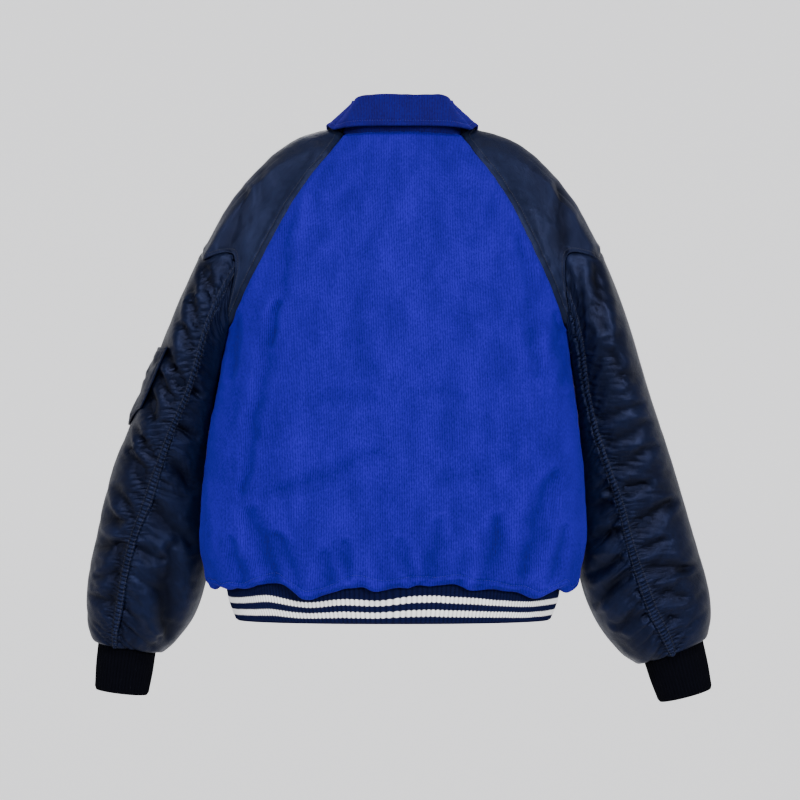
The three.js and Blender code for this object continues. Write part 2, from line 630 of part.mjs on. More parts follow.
// The shoulder panel: u round the arm, v from the raglan seam (0) to the sleeve seam (1).
function shoulderPanel(side, rows) {
  return {
    wall: SLEEVE_WALL,
    outward: side,
    folds: SLEEVE_FOLDS,
    calm: (u, v) => ease(v / 0.4),
    place(u, v) {
      const edge = seamShare(rows, u);
      const point = sleevePoint(rows, u, mix(edge, dropSeam(u) - edge, v));
      point.x *= side;
      return point;
    },
  };
}

// The lower sleeve: v from the shoulder seam (0) over the arm's first section (0.25) to the
// wrist (1).
function lowerSleeve(side, rows) {
  const armRows = rows.length - 1;
  return {
    wall: SLEEVE_WALL,
    outward: side,
    folds: SLEEVE_FOLDS,
    calm: (u, v) => ease((1 - v) / 0.08),
    place(u, v) {
      const top = dropSeam(u) + seamShare(rows, u);
      const q = v < 0.25 ? mix(top, 1, v / 0.25) : 1 + (armRows * (v - 0.25)) / 0.75;
      const point = sleevePoint(rows, u, q);
      point.x *= side;
      return point;
    },
  };
}

const SHOULDER_STEPS = 6;
const SLEEVE_STEPS = 17;

// Place round the arm of the shirred back seam, at v down the lower sleeve.
function seamPlace(rows, v) {
  const row = Math.max(0, ((v - 0.25) / 0.75) * (rows.length - 1));
  return atRow(rows, 'seam', row) / 360;
}

for (const [name, side] of [['left', 1], ['right', -1]]) {
  const rows = ARMS[name];
  const { places, seam } = placesRound(rows);
  const shoulder = panel(shoulderPanel(side, rows), places, steps(SHOULDER_STEPS));
  addCloth(`shoulder_${name}`, shoulder, SHOULDER_NYLON, 0.45);

  // The sleeve's cloth is split by the shirred seam at the back and by the underarm seam. Each
  // column starts at one of the shoulder's places and runs to its own at the wrist.
  const sleeve = lowerSleeve(side, rows);
  const coarse = steps(SLEEVE_STEPS);
  const middling = steps(SHIRRING.count / 2);
  const dense = steps(2 * SHIRRING.count);
  const gap = 0.0007;
  const settle = (v) => ease(v / 0.2);
  const column = (place, vs, level, lift = () => 0) =>
    vs.map((v, i) => wallPoint(sleeve, place(v), v, level, lift(v, i)));
  const along = (from, target) => (v) => mix(from, target(v), settle(v));

  const underPlace = (index) => {
    const share = index / seam;
    const end = index === seam ? -gap : 0;
    return along(places[index] + end, (v) => mix(0.004, seamPlace(rows, v), share) + end);
  };
  const underPlaces = places.slice(0, seam + 1).map((_, index) => underPlace(index));
  const underOuter = underPlaces.map((place, i) => column(place, i === seam ? dense : coarse, 0));
  const underInner = underPlaces.map((place, i) => column(place, i === seam ? middling : coarse, 1));
  addCloth(`sleeve_under_${name}`, wallGeometry(underOuter, underInner), NYLON, 0.4);

  const last = places.length - 1;
  const upperPlace = (index) => {
    const share = (index - seam - 2) / (last - seam - 2);
    const band = ((index - seam) / 2) * BAND_SHARE;
    const start = index === seam ? gap : 0;
    return along(places[index] + start, (v) =>
      index <= seam + 2
        ? seamPlace(rows, v) + band + start
        : mix(seamPlace(rows, v) + BAND_SHARE, 0.996, share));
  };
  const crest = (share) => (v, i) =>
    i % 2 === 1 && v > 0.04 && v < 0.985 ? SHIRRING.height * Math.sin(Math.PI * share) : 0;
  const upperOuter = [];
  const upperInner = [];
  for (let index = seam; index <= last; index += 1) {
    const place = upperPlace(index);
    const inBand = index - seam <= 2;
    const lift = crest(mix(0.15, 0.85, (index - seam) / 2));
    upperOuter.push(inBand ? column(place, dense, 0, lift) : column(place, coarse, 0));
    upperInner.push(column(place, inBand ? middling : coarse, 1));
  }
  addCloth(`sleeve_upper_${name}`, wallGeometry(upperOuter, upperInner), NYLON, 0.4);
}

// The patch pocket: a slack patch over the left sleeve's outer side, made from its points.
function pocketPoint(a, b, level) {
  const back = mix(POCKET.backTop, POCKET.backBottom, b);
  const bottom = mix(POCKET.bottomBack, POCKET.bottom, ease(a / 0.45));
  const puff = POCKET.puff * Math.sqrt(Math.sin(Math.PI * a) * Math.sin(Math.PI * b)) * mix(0.6, 1, b);
  const lift = POCKET.gap + puff + (1 - level) * POCKET.wall;
  const sleeve = lowerSleeve(1, ARMS.left);
  return wallPoint(sleeve, mix(back, POCKET.front, a), mix(POCKET.top, bottom, b), 0, lift);
}
const pocketSide = (level) =>
  steps(10).map((a) => steps(8).map((b) => pocketPoint(a, b, level)));
addCloth('sleeve_pocket', wallGeometry(pocketSide(0), pocketSide(1)), NYLON, 0.4);

// ---- Ribbed hem and cuffs, knitted -------------------------------------------------------------

// Top and bottom points of a ribbed band at each of its angles. outline(angle, share, out)
// gives the band's inside, moved outwards by out.
function ribRows(outline, angles, out) {
  return angles.map((angle, i) => [0, 1].map((share) => outline(angle, share, out(i))));
}

const ribbed = (wall, height) => (i) => wall + (i % 2) * height;
const plain = () => 0;
const round = (from, to, count) => steps(count).map((share) => mix(from, to, share));

const zipAngle = torsoAngle(FRONT_EDGE + 0.5, HEM_Z);
const hemEnds = [-zipAngle + 0.004, 2 * Math.PI - (Math.PI - zipAngle) - 0.004];
const hemOuter = ribRows(hemRibPoint, round(...hemEnds, 2 * HEM_RIB.ribs), ribbed(RIB_WALL, HEM_RIB.height));
const hemInner = ribRows(hemRibPoint, round(...hemEnds, HEM_RIB.ribs / 2), plain);
addCloth('hem_rib', wallGeometry(hemOuter, hemInner), BAND_KNIT, 0.85);

for (const [name, side] of [['left', 1], ['right', -1]]) {
  const wrist = ARMS[name][ARMS[name].length - 1];
  const cuff = CUFFS[name];
  const lean = degrees(cuff.lean);
  const fall = new THREE.Vector3(Math.sin(lean), 0.02, -Math.cos(lean));
  const turn = degrees(wrist.tilt);
  const tuckedUp = new THREE.Vector3(-Math.sin(turn), 0, Math.cos(turn));
  const tuck = WRIST_GAP + CUFF_RIBS.height + RIB_WALL;
  const outline = (angle, share, out) => {
    const half = mix(wrist.half - tuck, cuff.half - RIB_WALL, share) + out;
    const depth = mix(wrist.depth - tuck, cuff.depth - RIB_WALL, share) + out;
    const tilt = mix(turn, lean, share);
    const across = half * Math.cos(angle);
    const point = new THREE.Vector3(wrist.x, wrist.y, wrist.z);
    point.addScaledVector(tuckedUp, CUFF_RIBS.tuck);
    point.addScaledVector(fall, share * CUFF_RIBS.length);
    point.x += across * Math.cos(tilt);
    point.y += depth * Math.sin(angle);
    point.z += across * Math.sin(tilt);
    point.x *= side;
    return point;
  };
  const ring = (count) => round(0, 2 * Math.PI, count).slice(0, -1);
  const outer = ribRows(outline, ring(2 * CUFF_RIBS.count), ribbed(RIB_WALL, CUFF_RIBS.height));
  const inner = ribRows(outline, ring(CUFF_RIBS.count / 2), plain);
  addCloth(`cuff_${name}`, wallGeometry(outer, inner, true), CUFF_KNIT, 0.95);
}

// ---- Collar, in corduroy ----------------------------------------------------------------------

// The neck seam: 0 at the centre back to 1 at the front edge, on the wearer's left.
function neckSeam(at) {
  if (at < NECK_PARTS.back) {
    const angle = mix(Math.PI / 2, degrees(RAGLAN[0].backAngle), at / NECK_PARTS.back);
    return torso(angle, RAGLAN[0].backZ);
  }
  if (at < NECK_PARTS.side) {
    const share = (at - NECK_PARTS.back) / (NECK_PARTS.side - NECK_PARTS.back);
    return armholeLoop(mix(NECK_SHARE.from, NECK_SHARE.to, share));
  }
  const u = 1 - (at - NECK_PARTS.side) / (1 - NECK_PARTS.side);
  const z = mix(NECK_FRONT_Z, RAGLAN[0].frontZ, u * u);
  return torso(-mix(torsoAngle(FRONT_EDGE, z), degrees(RAGLAN[0].frontAngle), u), z);
}

// The collar's middle surface: u round the neck from -1 to 1, v from the neck seam (0) up the
// stand to the fold and down the fall to its edge (1).
function collarPlace(u, v) {
  const at = Math.abs(u);
  const row = rowOf(COLLAR, 'at', at);
  const [foldOut, foldUp] = [atRow(COLLAR, 'foldOut', row), atRow(COLLAR, 'foldUp', row)];
  const [edgeOut, edgeUp] = [atRow(COLLAR, 'edgeOut', row), atRow(COLLAR, 'edgeUp', row)];
  const fall = [foldOut + 8, foldUp - 5];
  const edgeSide = atRow(COLLAR, 'edgeSide', row);
  const profile = [
    { out: -1.5, up: -0.3, side: 0 },
    { out: foldOut * 0.75 - 1.5, up: foldUp * 0.5, side: 0 },
    { out: foldOut, up: foldUp - 5, side: 0 },
    { out: foldOut + 4.5, up: foldUp, side: 0 },
    { out: fall[0], up: fall[1], side: 0.1 * edgeSide },
    { out: mix(fall[0], edgeOut, 0.5), up: mix(fall[1], edgeUp, 0.5), side: 0.5 * edgeSide },
    { out: edgeOut, up: edgeUp, side: edgeSide },
  ];
  const seam = neckSeam(at);
  const outward = new THREE.Vector3(seam.x, seam.y + 6, 0).normalize();
  const place = v * (profile.length - 1);
  seam.addScaledVector(outward, atRow(profile, 'out', place));
  seam.z += atRow(profile, 'up', place);
  seam.x += atRow(profile, 'side', place);
  seam.x *= Math.sign(u) || 1;
  return seam;
}
const collar = { wall: COLLAR_WALL, outward: 1, folds: [], calm: () => 0, place: collarPlace };
const COLLAR_STEPS = { back: 4, side: 4, front: 6, profile: 10 };
const halfRound = [
  ...steps(COLLAR_STEPS.back, 0, NECK_PARTS.back).slice(1, -1),
  ...steps(COLLAR_STEPS.side, NECK_PARTS.back, NECK_PARTS.side).slice(0, -1),
  ...steps(COLLAR_STEPS.front, NECK_PARTS.side, 0.996),
];
const allRound = [...halfRound.map((u) => -u).reverse(), 0, ...halfRound];
const collarSide = (level) =>
  allRound.map((u) =>
    steps(COLLAR_STEPS.profile, 0.002, 0.998).map((v) => wallPoint(collar, u, v, level - 0.5)));
addCloth('collar', wallGeometry(collarSide(0), collarSide(1)), CORDUROY, 0.9);

// ---- Zip: woven tape, and a nickel slider with its pull ------------------------------------------

// Middle of the closed zip's face at a height: behind the fronts, then behind the hem's rib.
function zipFace(z) {
  const body = torso(-Math.PI / 2, z).y + BODY_WALL + ZIP.behind;
  const rib = hemRibPoint(-Math.PI / 2, 0.5, 0).y + ZIP.behind;
  return new THREE.Vector3(leanAt(z), mix(body, rib, ease((-555 - z) / 35)), z);
}

const tapeSide = (level) =>
  [-1, 0, 1].map((across) =>
    steps(22, ZIP.bottom, ZIP.top).map((z) => {
      const point = zipFace(z);
      point.x += across * ZIP.tapeHalf;
      point.y += level * ZIP.tapeWall;
      return point;
    }));
addPiece('zip_tape', wallGeometry(tapeSide(0), tapeSide(1)), ZIP_TAPE, 0.9);

// The slider's own frame: x across, -y out from the zip's face, z up the zip.
const sliderSeat = zipFace(SLIDER.z);
const upZip = zipFace(SLIDER.z + 8).sub(zipFace(SLIDER.z - 8));
const sliderTilt = -Math.atan2(upZip.y, upZip.z);
const outwards = new THREE.Matrix4().makeBasis(
  new THREE.Vector3(0, -1, 0),
  new THREE.Vector3(0, 0, 1),
  new THREE.Vector3(-1, 0, 0),
);

const wasm = await Module();
wasm.setup();

function solidOf(geometry) {
  const bare = geometry.clone();
  bare.deleteAttribute('normal');
  bare.deleteAttribute('uv');
  const merged = mergeVertices(bare, 1e-4);
  const vertProperties = new Float32Array(merged.attributes.position.array);
  const triVerts = new Uint32Array(merged.index.array);
  return new wasm.Manifold(new wasm.Mesh({ numProp: 3, vertProperties, triVerts }));
}

function geometryOf(solid) {
  const mesh = solid.getMesh();
  const geometry = new THREE.BufferGeometry();
  geometry.setAttribute('position', new THREE.Float32BufferAttribute(mesh.vertProperties, 3));
  geometry.setIndex(Array.from(mesh.triVerts));
  return geometry;
}

// The bridge is a ring on the slider's face, and the pull's bar turns in it.
const bridgeOut = SLIDER.seat + SLIDER.height + BRIDGE.outer - 0.4;

function sliderGeometry() {
  const body = new THREE.BoxGeometry(SLIDER.width, SLIDER.height, SLIDER.length);
  body.translate(0, -SLIDER.seat - SLIDER.height / 2, 0);
  const ring = new THREE.Shape().absarc(bridgeOut, BRIDGE.up, BRIDGE.outer, 0, 2 * Math.PI);
  ring.holes.push(new THREE.Path().absarc(bridgeOut, BRIDGE.up, BRIDGE.hole, 0, 2 * Math.PI));
  const bridge = new THREE.ExtrudeGeometry(ring, { depth: BRIDGE.width, bevelEnabled: false, curveSegments: 8 });
  bridge.translate(0, 0, -BRIDGE.width / 2).applyMatrix4(outwards);
  return geometryOf(solidOf(body).add(solidOf(bridge)));
}
const slider = addPiece('zip_slider', sliderGeometry(), NICKEL, 0.35, 1);
slider.position.copy(sliderSeat);
slider.rotation.x = sliderTilt;

// The pull: a flat tab with a window, whose upper bar is the hinge's pin.
function pullGeometry() {
  const half = PULL.width / 2;
  const top = PULL.bar / 2;
  const outline = new THREE.Shape()
    .moveTo(-half, top)
    .lineTo(-half, -PULL.length + half)
    .absarc(0, -PULL.length + half, half, Math.PI, 2 * Math.PI)
    .lineTo(half, top);
  const window = new THREE.Path()
    .moveTo(-PULL.window / 2, -top)
    .lineTo(PULL.window / 2, -top)
    .lineTo(PULL.window / 2, -top - PULL.windowLength)
    .lineTo(-PULL.window / 2, -top - PULL.windowLength);
  outline.holes.push(window);
  const tab = new THREE.ExtrudeGeometry(outline, { depth: PULL.wall, bevelEnabled: false, curveSegments: 6 });
  tab.translate(0, 0, -PULL.wall / 2).rotateX(Math.PI / 2);
  return geometryOf(solidOf(tab));
}
const pull = addPiece('zip_pull', pullGeometry(), NICKEL, 0.35, 1);
pull.position.set(0, -bridgeOut, BRIDGE.up).applyEuler(new THREE.Euler(sliderTilt, 0, 0));
pull.position.add(sliderSeat);
pull.rotation.x = sliderTilt;

export default jacket;
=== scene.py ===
import math
import bpy
import numpy as np
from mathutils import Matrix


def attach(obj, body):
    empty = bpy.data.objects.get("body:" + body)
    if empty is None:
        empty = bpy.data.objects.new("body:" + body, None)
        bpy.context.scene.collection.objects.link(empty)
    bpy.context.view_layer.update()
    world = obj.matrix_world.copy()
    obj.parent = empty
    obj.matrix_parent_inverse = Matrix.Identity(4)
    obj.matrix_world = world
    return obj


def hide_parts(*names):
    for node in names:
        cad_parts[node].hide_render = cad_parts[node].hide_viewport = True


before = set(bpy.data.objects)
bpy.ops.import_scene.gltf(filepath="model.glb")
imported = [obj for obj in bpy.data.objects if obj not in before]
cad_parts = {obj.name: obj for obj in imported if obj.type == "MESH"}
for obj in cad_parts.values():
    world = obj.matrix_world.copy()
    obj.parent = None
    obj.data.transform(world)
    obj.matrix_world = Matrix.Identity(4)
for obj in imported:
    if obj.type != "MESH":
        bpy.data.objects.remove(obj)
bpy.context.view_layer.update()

# ---- Camera, floor and light ---------------------------------------------------------
# The jacket is seen from behind, level with its middle, through a long lens. It stands in
# a pale paper bowl, whose floor curves up all round. The paper is painted to glow: dimly all
# over and brightest behind the jacket. Large soft lamps stand above it, on both sides and in front.
camera_data = bpy.data.cameras.new("camera")
camera_data.lens = 125
camera_data.sensor_width = 36
camera = bpy.data.objects.new("camera", camera_data)
camera.location = (0, 3.75, -0.362)
camera.rotation_euler = (math.radians(90), 0, math.radians(180))
bpy.context.scene.collection.objects.link(camera)
bpy.context.scene.camera = camera


def linear(code):
    """Linear RGBA of an sRGB hex colour: c / 12.92 below 0.04045, else ((c + 0.055) / 1.055) ** 2.4."""
    values = [int(code[i : i + 2], 16) / 255 for i in (0, 2, 4)]
    return [c / 12.92 if c < 0.04045 else ((c + 0.055) / 1.055) ** 2.4 for c in values] + [1]


def material(name):
    """A new material: its node tree, and its Principled shader joined to the output."""
    made = bpy.data.materials.new(name)
    made.use_nodes = True
    made.node_tree.nodes.clear()
    shader = add(made.node_tree, "BsdfPrincipled")
    add(made.node_tree, "OutputMaterial", {"Surface": shader})
    return made, made.node_tree, shader


def wire(tree, node, inputs):
    """Gives a node's sockets values, or links them to an output or a node's first output in use."""
    for socket, value in inputs.items():
        if isinstance(value, bpy.types.Node):
            value = next(output for output in value.outputs if output.enabled)
        if isinstance(value, bpy.types.NodeSocket):
            tree.links.new(value, node.inputs[socket])
        else:
            node.inputs[socket].default_value = value


def add(tree, kind, inputs={}, **settings):
    """Adds a shader node with its settings and its inputs."""
    made = tree.nodes.new("ShaderNode" + kind)
    for name, value in settings.items():
        setattr(made, name, value)
    wire(tree, made, inputs)
    return made


def link_mesh(name, mesh, surface):
    """An object for a finished mesh, at the origin, with its material."""
    made = bpy.data.objects.new(name, mesh)
    mesh.materials.append(surface)
    bpy.context.scene.collection.objects.link(made)
    return made


# Matt paper: a faint grain, some 30 mm across, keeps the bowl from looking like a flat fill.
paper, tree, shader = material("paper_sweep")
grain = add(tree, "TexNoise", {"Vector": add(tree, "TexCoord").outputs["Object"], "Scale": 30.0})
tint = add(tree, "Mix", {"Factor": grain, "A": linear("bcbcbc"), "B": linear("c2c2c2")}, data_type="RGBA")
spread = add(tree, "SeparateXYZ", {"Vector": add(tree, "TexCoord").outputs["Object"]})
aside = add(tree, "Math", {0: spread.outputs["X"]}, operation="ABSOLUTE")
# Painted glow: the paper emits light, DIM all over and BRIGHT more behind the jacket, fading out to the
# sides and above.
BRIGHT, DIM = 0.7, 0.34
limits = [
    {"Value": aside, "From Min": 1.8, "From Max": 3.2, "To Min": BRIGHT, "To Max": 0.0},
    {"Value": spread.outputs["Y"], "From Min": -4.0, "From Max": -2.0, "To Min": 1.0, "To Max": 0.0},
    {"Value": spread.outputs["Z"], "From Min": 1.5, "From Max": 2.8, "To Min": 1.0, "To Max": 0.0},
]
inside = [add(tree, "MapRange", limit) for limit in limits]
spot = add(tree, "Math", {0: inside[0], 1: inside[1]}, operation="MULTIPLY")
glow = add(tree, "Math", {0: spot, 1: inside[2], 2: DIM}, operation="MULTIPLY_ADD")
wire(tree, shader, {"Base Color": tint, "Roughness": 0.9})
wire(tree, shader, {"Emission Color": linear("fcfcff"), "Emission Strength": glow})
bend = np.linspace(0, math.pi / 2, 16)
radius = np.concatenate([[0.5, 3], 6 + 2 * np.sin(bend), [8]])
height = np.concatenate([[-2.6, -2.6], -0.6 - 2 * np.cos(bend), [6]])
turn = np.linspace(0, 2 * math.pi, 73)[:-1, None]
corners = np.stack(np.broadcast_arrays(np.cos(turn) * radius, np.sin(turn) * radius, height), -1)
index = np.arange(corners[..., 0].size).reshape(corners.shape[:2])
after = np.roll(index, -1, 0)
faces = np.stack([index[:, :-1], index[:, 1:], after[:, 1:], after[:, :-1]], -1).reshape(-1, 4)
sweep_mesh = bpy.data.meshes.new("sweep")
sweep_mesh.from_pydata(corners.reshape(-1, 3).tolist(), [], [index[:, 0].tolist(), *faces.tolist()])
sweep_mesh.polygons.foreach_set("use_smooth", np.ones(len(faces) + 1, bool))
sweep = link_mesh("sweep", sweep_mesh, paper)
for name, place, size, power in [
    ("lamp_above", (0.2, 2.7, 2.0), 0.8, 74),
    ("lamp_left", (1.3, 3.3, 0.3), 0.7, 46),
    ("lamp_right", (-1.4, 3.2, 0.3), 0.7, 82),
    ("lamp_front", (0.4, -3.0, 2.0), 1.4, 24),
]:
    lamp_data = bpy.data.lights.new(name, "AREA")
    lamp_data.size = size
    lamp_data.energy = power
    lamp = bpy.data.objects.new(name, lamp_data)
    away = np.array(place) - np.array([0, 0, -0.35])
    lamp.location = place
    lamp.rotation_euler = (
        math.atan2(math.hypot(away[0], away[1]), away[2]),
        0,
        math.atan2(away[0], -away[1]),
    )
    bpy.context.scene.collection.objects.link(lamp)
    lamp.visible_camera = False
world = bpy.data.worlds.new("room")
world.use_nodes = True
background = world.node_tree.nodes["Background"]
background.inputs["Color"].default_value = linear("f6f7f9")
background.inputs["Strength"].default_value = 0.28
bpy.context.scene.world = world

# ---- Back ----------------------------------------------------------------------------
# The back is one piece of fine-waled corduroy on light padding, from collar to hem. It is
# sewn to the shoulders along the raglan seams, and its lower edge rolls under onto the rib.
MM = 0.001
# Level sections of the body: heights, half widths, side lines, backs and fronts, in mm.
TORSO = {
    "z": [-600, -565, -500, -430, -360, -310, -272, -235, -186, -138, -105, -72, -28, -5, 12],
    "half": [250, 257, 257, 251, 241, 233, 228, 226, 220, 206, 190, 164, 116, 85, 70],
    "line": [28, 29, 30, 30, 30, 30, 29, 28, 27, 24, 21, 17, 12, 8, 5],
    "back": [137, 141, 143, 144, 144, 143, 142, 139, 133, 122, 113, 101, 78, 62, 55],
    "front": [-127, -132, -136, -138, -137, -135, -132, -127, -118, -106, -95, -80, -54, -35, -20],
}
HEM_Z, ARMPIT_Z, HEM_STITCHES = -600, -272, 33
HEM_ROLL = {"inward": [0, 0.12, 0.5, 0.88, 1], "down": [0, 8, 13, 9, 1]}
HEM_RIB = {
    "z": [-602, -630, -656],
    "half": [224, 219, 209],
    "back": [118, 115, 110],
    "front": [-117, -117, -117],
}
RIB_WALL, RIB_HEIGHT, RIB_LINE = 2.6, 1.1, 28
# The raglan seams, by rows from the neck down to the armpit: heights and angles round the body.
RAGLAN = {
    "back_z": [-5, -30, -70, -105, -142, -186, -232, -262, -272],
    "back_angle": [25, 38.5, 41.6, 41.4, 38.8, 32.8, 22.5, 12.5, 0],
    "front_z": [-28, -52, -80, -108, -142, -186, -232, -262, -272],
    "front_angle": [54.7, 54, 53, 51.5, 47, 38.5, 26, 14, 0],
}
RAGLAN_ROWS = 8
BODY_WALL, SEAM_GAP, SEAM_RADIUS = 3.4, 0.4, 300


def ease(t):
    """Smooth step: 3 t^2 - 2 t^3, with t kept from 0 to 1."""
    t = np.clip(t, 0, 1)
    return t * t * (3 - 2 * t)


def mix(a, b, t):
    """a + (b - a) t."""
    return a + (b - a) * t


def smooth(places, values, at):
    """Cubic Hermite curve through (places, values), with half the slope at each end."""
    places, values = np.asarray(places, float), np.asarray(values, float)
    slope = np.gradient(values, places)
    slope[[0, -1]] *= 0.5
    at = np.clip(at, places[0], places[-1])
    i = np.clip(np.searchsorted(places, at, side="right") - 1, 0, len(places) - 2)
    span = places[i + 1] - places[i]
    t = (at - places[i]) / span
    start = (1 + 2 * t) * (1 - t) ** 2 * values[i] + t * (1 - t) ** 2 * span * slope[i]
    end = t * t * (3 - 2 * t) * values[i + 1] + t * t * (t - 1) * span * slope[i + 1]
    return start + end


def columns(table, at):
    """Smooth values of a table's other columns at places in its first one."""
    places, *others = table.values()
    return [smooth(places, values, at) for values in others]


def by_row(rows, name, row):
    """Smooth value of a table's column at row positions that need not be whole."""
    return smooth(np.arange(len(rows[name])), rows[name], row)


def bow(value):
    """Sine or cosine for a section squarer than an ellipse: sign(v) |v|^(2 / 2.3)."""
    return np.sign(value) * np.abs(value) ** (2 / 2.3)


def section(angle, z, half, line, back, front):
    """Level section: x = half bow(cos a), y = line + depth bow(sin a), depth by the side."""
    depth = np.where(np.sin(angle) > 0, back - line, line - front)
    x = half * bow(np.cos(angle))
    return np.stack(np.broadcast_arrays(x, line + depth * bow(np.sin(angle)), z), -1)


def torso(angle, z):
    """Body's surface at an angle from the side line and a height."""
    half, line, back, front = columns(TORSO, z)
    return section(angle, z, half, line, back, front)


def torso_angle(x, z):
    """Angle whose body point lies x out: acos((x / half)^(2.3 / 2))."""
    return np.arccos((x / smooth(TORSO["z"], TORSO["half"], z)) ** 1.15)


def hem_rib_point(angle, share, out):
    """Hem rib's inside, from its top (0) to its bottom (1), moved outwards by out."""
    row, grow = 2 * share, out - RIB_WALL
    half, back, front = (by_row(HEM_RIB, n, row) for n in ("half", "back", "front"))
    return section(angle, by_row(HEM_RIB, "z", row), half + grow, RIB_LINE, back + grow, front - grow)


def hem_roll(angle, roll):
    """The body's cloth rolling under: it goes down and in to the rib, in soft waves."""
    edge = torso(angle, np.full_like(angle, HEM_Z))
    rib = hem_rib_point(angle, np.zeros_like(angle), RIB_WALL + RIB_HEIGHT + 1.1)
    rib[..., 2] = HEM_Z
    down = by_row(HEM_ROLL, "down", roll)
    wave = np.cos(13 * angle) * np.cos(2 * angle + 0.6) + 0.2 * np.sin(29 * angle + 1)
    edge = mix(edge, rib, by_row(HEM_ROLL, "inward", roll)[..., None])
    edge[..., 2] -= down * (1 + wave / 3)
    return edge


def side_seam(z):
    """Angle of the side seam: a little in front of the side line below the armpit."""
    return math.radians(-4) * ease((ARMPIT_Z - z) / 90)


def lean(points):
    """The jacket hangs 9 mm to its left at the hem and 3 mm to its right at the neck."""
    moved = points.copy()
    moved[..., 0] += mix(-3, 9, ease(-points[..., 2] / 520))
    return moved


def arc(points, axis):
    """Length along a grid of points from its first row or column."""
    spans = np.linalg.norm(np.diff(points, axis=axis), axis=-1)
    return np.concatenate([np.zeros_like(np.take(spans, [0], axis)), np.cumsum(spans, axis)], axis)


def normals(points, facing=1):
    """Unit normals of a grid, from the cross product of its two slopes."""
    cross = np.cross(np.gradient(points, axis=0), np.gradient(points, axis=1))
    return facing * cross / np.linalg.norm(cross, axis=-1, keepdims=True)


def folds(lines, points, normal):
    """Depth of troughs (above 0) and ridges, seen from behind (side 1) or in front (-1).
    Each is depth (exp(-t^1.5) - 0.25 exp(-((t - 1.9) / 0.7)^2)), t = distance / width,
    and thins to its ends. The lines wander a little, as cloth does."""
    total = np.zeros(points.shape[:2])
    x = points[..., 0] + 2.5 * np.sin(points[..., 2] / 19) + 1.5 * np.sin(points[..., 2] / 7.3 + 1)
    z = points[..., 2] + 2.5 * np.sin(points[..., 0] / 17 + 2)
    rows = [(side, *row) for side in lines for row in lines[side]]
    for side, x0, z0, x1, z1, width, depth in rows:
        share = ((x - x0) * (x1 - x0) + (z - z0) * (z1 - z0)) / ((x1 - x0) ** 2 + (z1 - z0) ** 2)
        held = np.clip(share, 0, 1)
        away = np.hypot(x - mix(x0, x1, held), z - mix(z0, z1, held))
        t = away / width / (0.55 + 1.6 * held * (1 - held))
        shape = np.exp(-(t**1.5)) - 0.25 * np.exp(-(((t - 1.9) / 0.7) ** 2))
        total += depth * shape * np.clip(2 * side * normal[..., 1], 0, 1)
    return total


def crumple(points, size, seed, count=14):
    """Soft uneven swelling, about -1 to 1: a mean of sines of random directions and phases."""
    rng = np.random.default_rng(seed)
    way = rng.normal(size=(count, 3))
    length = size / (2 * math.pi) * rng.uniform(0.7, 1.6, (count, 1))
    way /= np.linalg.norm(way, axis=1, keepdims=True) * length
    phase = rng.uniform(0, 2 * math.pi, count)
    return np.sin(points @ way.T + phase).sum(-1) / math.sqrt(count)


def wall_mesh(name, outer, inner, places, painted_shading, facing=1, ring=False):
    """Closed wall from an outer grid and a coarser inner one (mm), joined round its edges.
    places (mm over the flat cloth, two ways) and the painted shading (-0.5 on ridges, painted
    paler, to 1 in creases, painted darker) belong to the outer grid."""
    u, v, painted_shading = (np.broadcast_to(each, outer.shape[:2]) for each in (*places, painted_shading))
    uv = np.stack([u, v], -1) * MM
    if facing < 0:
        outer, inner, uv, painted_shading = outer[::-1], inner[::-1], uv[::-1], painted_shading[::-1]
    a = np.arange(outer[..., 0].size).reshape(outer.shape[:2])
    b = a.size + np.arange(inner[..., 0].size).reshape(inner.shape[:2])
    if ring:
        a, b = np.vstack([a, a[:1]]), np.vstack([b, b[:1]])
    ni, nj = (a.shape[0] - 1) // (b.shape[0] - 1), (a.shape[1] - 1) // (b.shape[1] - 1)
    front = np.stack([a[:-1, :-1], a[1:, :-1], a[1:, 1:], a[:-1, 1:]], -1).reshape(-1, 4)
    back = np.stack([b[:-1, :-1], b[:-1, 1:], b[1:, 1:], b[1:, :-1]], -1).reshape(-1, 4)

    def rim(edge, lining, step, turned):
        """Faces from each edge of the lining to the step edges that it faces."""
        starts = np.arange(len(lining) - 1) * step
        run = edge[starts[:, None] + np.arange(step + 1)]
        faces = np.concatenate([run, lining[1:, None], lining[:-1, None]], 1)
        return faces[:, ::-1] if turned else faces

    rims = [rim(a[:, 0], b[:, 0], ni, True), rim(a[:, -1], b[:, -1], ni, False)]
    if not ring:
        rims += [rim(a[0], b[0], nj, False), rim(a[-1], b[-1], nj, True)]
    every = [front, back, *rims]
    loops = np.concatenate([f.ravel() for f in every]).astype(np.int32)
    sizes = np.concatenate([np.full(len(f), f.shape[1]) for f in every])
    points = lean(np.concatenate([outer.reshape(-1, 3), inner.reshape(-1, 3)])) * MM
    mesh = bpy.data.meshes.new(name)
    mesh.vertices.add(len(points))
    mesh.vertices.foreach_set("co", points.ravel())
    mesh.loops.add(len(loops))
    mesh.loops.foreach_set("vertex_index", loops)
    mesh.polygons.add(len(sizes))
    mesh.polygons.foreach_set("loop_start", (np.cumsum(sizes) - sizes).astype(np.int32))
    mesh.polygons.foreach_set("use_smooth", np.ones(len(sizes), bool))
    mesh.update(calc_edges=True)
    flat = np.concatenate([uv.reshape(-1, 2), uv[::ni, ::nj].reshape(-1, 2)])
    mesh.uv_layers.new(name="cloth").data.foreach_set("uv", flat[loops].astype(np.float32).ravel())
    # The painted shading goes into a point attribute that the materials scale their colour by; the lining
    # gets 0.5.
    dark = np.concatenate([painted_shading.ravel(), np.full(inner[..., 0].size, 0.5)])
    mesh.attributes.new("painted_shading", "FLOAT", "POINT").data.foreach_set("value", dark.astype(np.float32))
    return mesh


def cloth(node, walls, surface):
    """A cloth that stands for a CAD node: its closed wall, its material and what it rides on."""
    name = node + "_cloth"
    made = link_mesh(name, wall_mesh(name, *walls), surface)
    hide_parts(node)
    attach(made, "jacket")
    return made


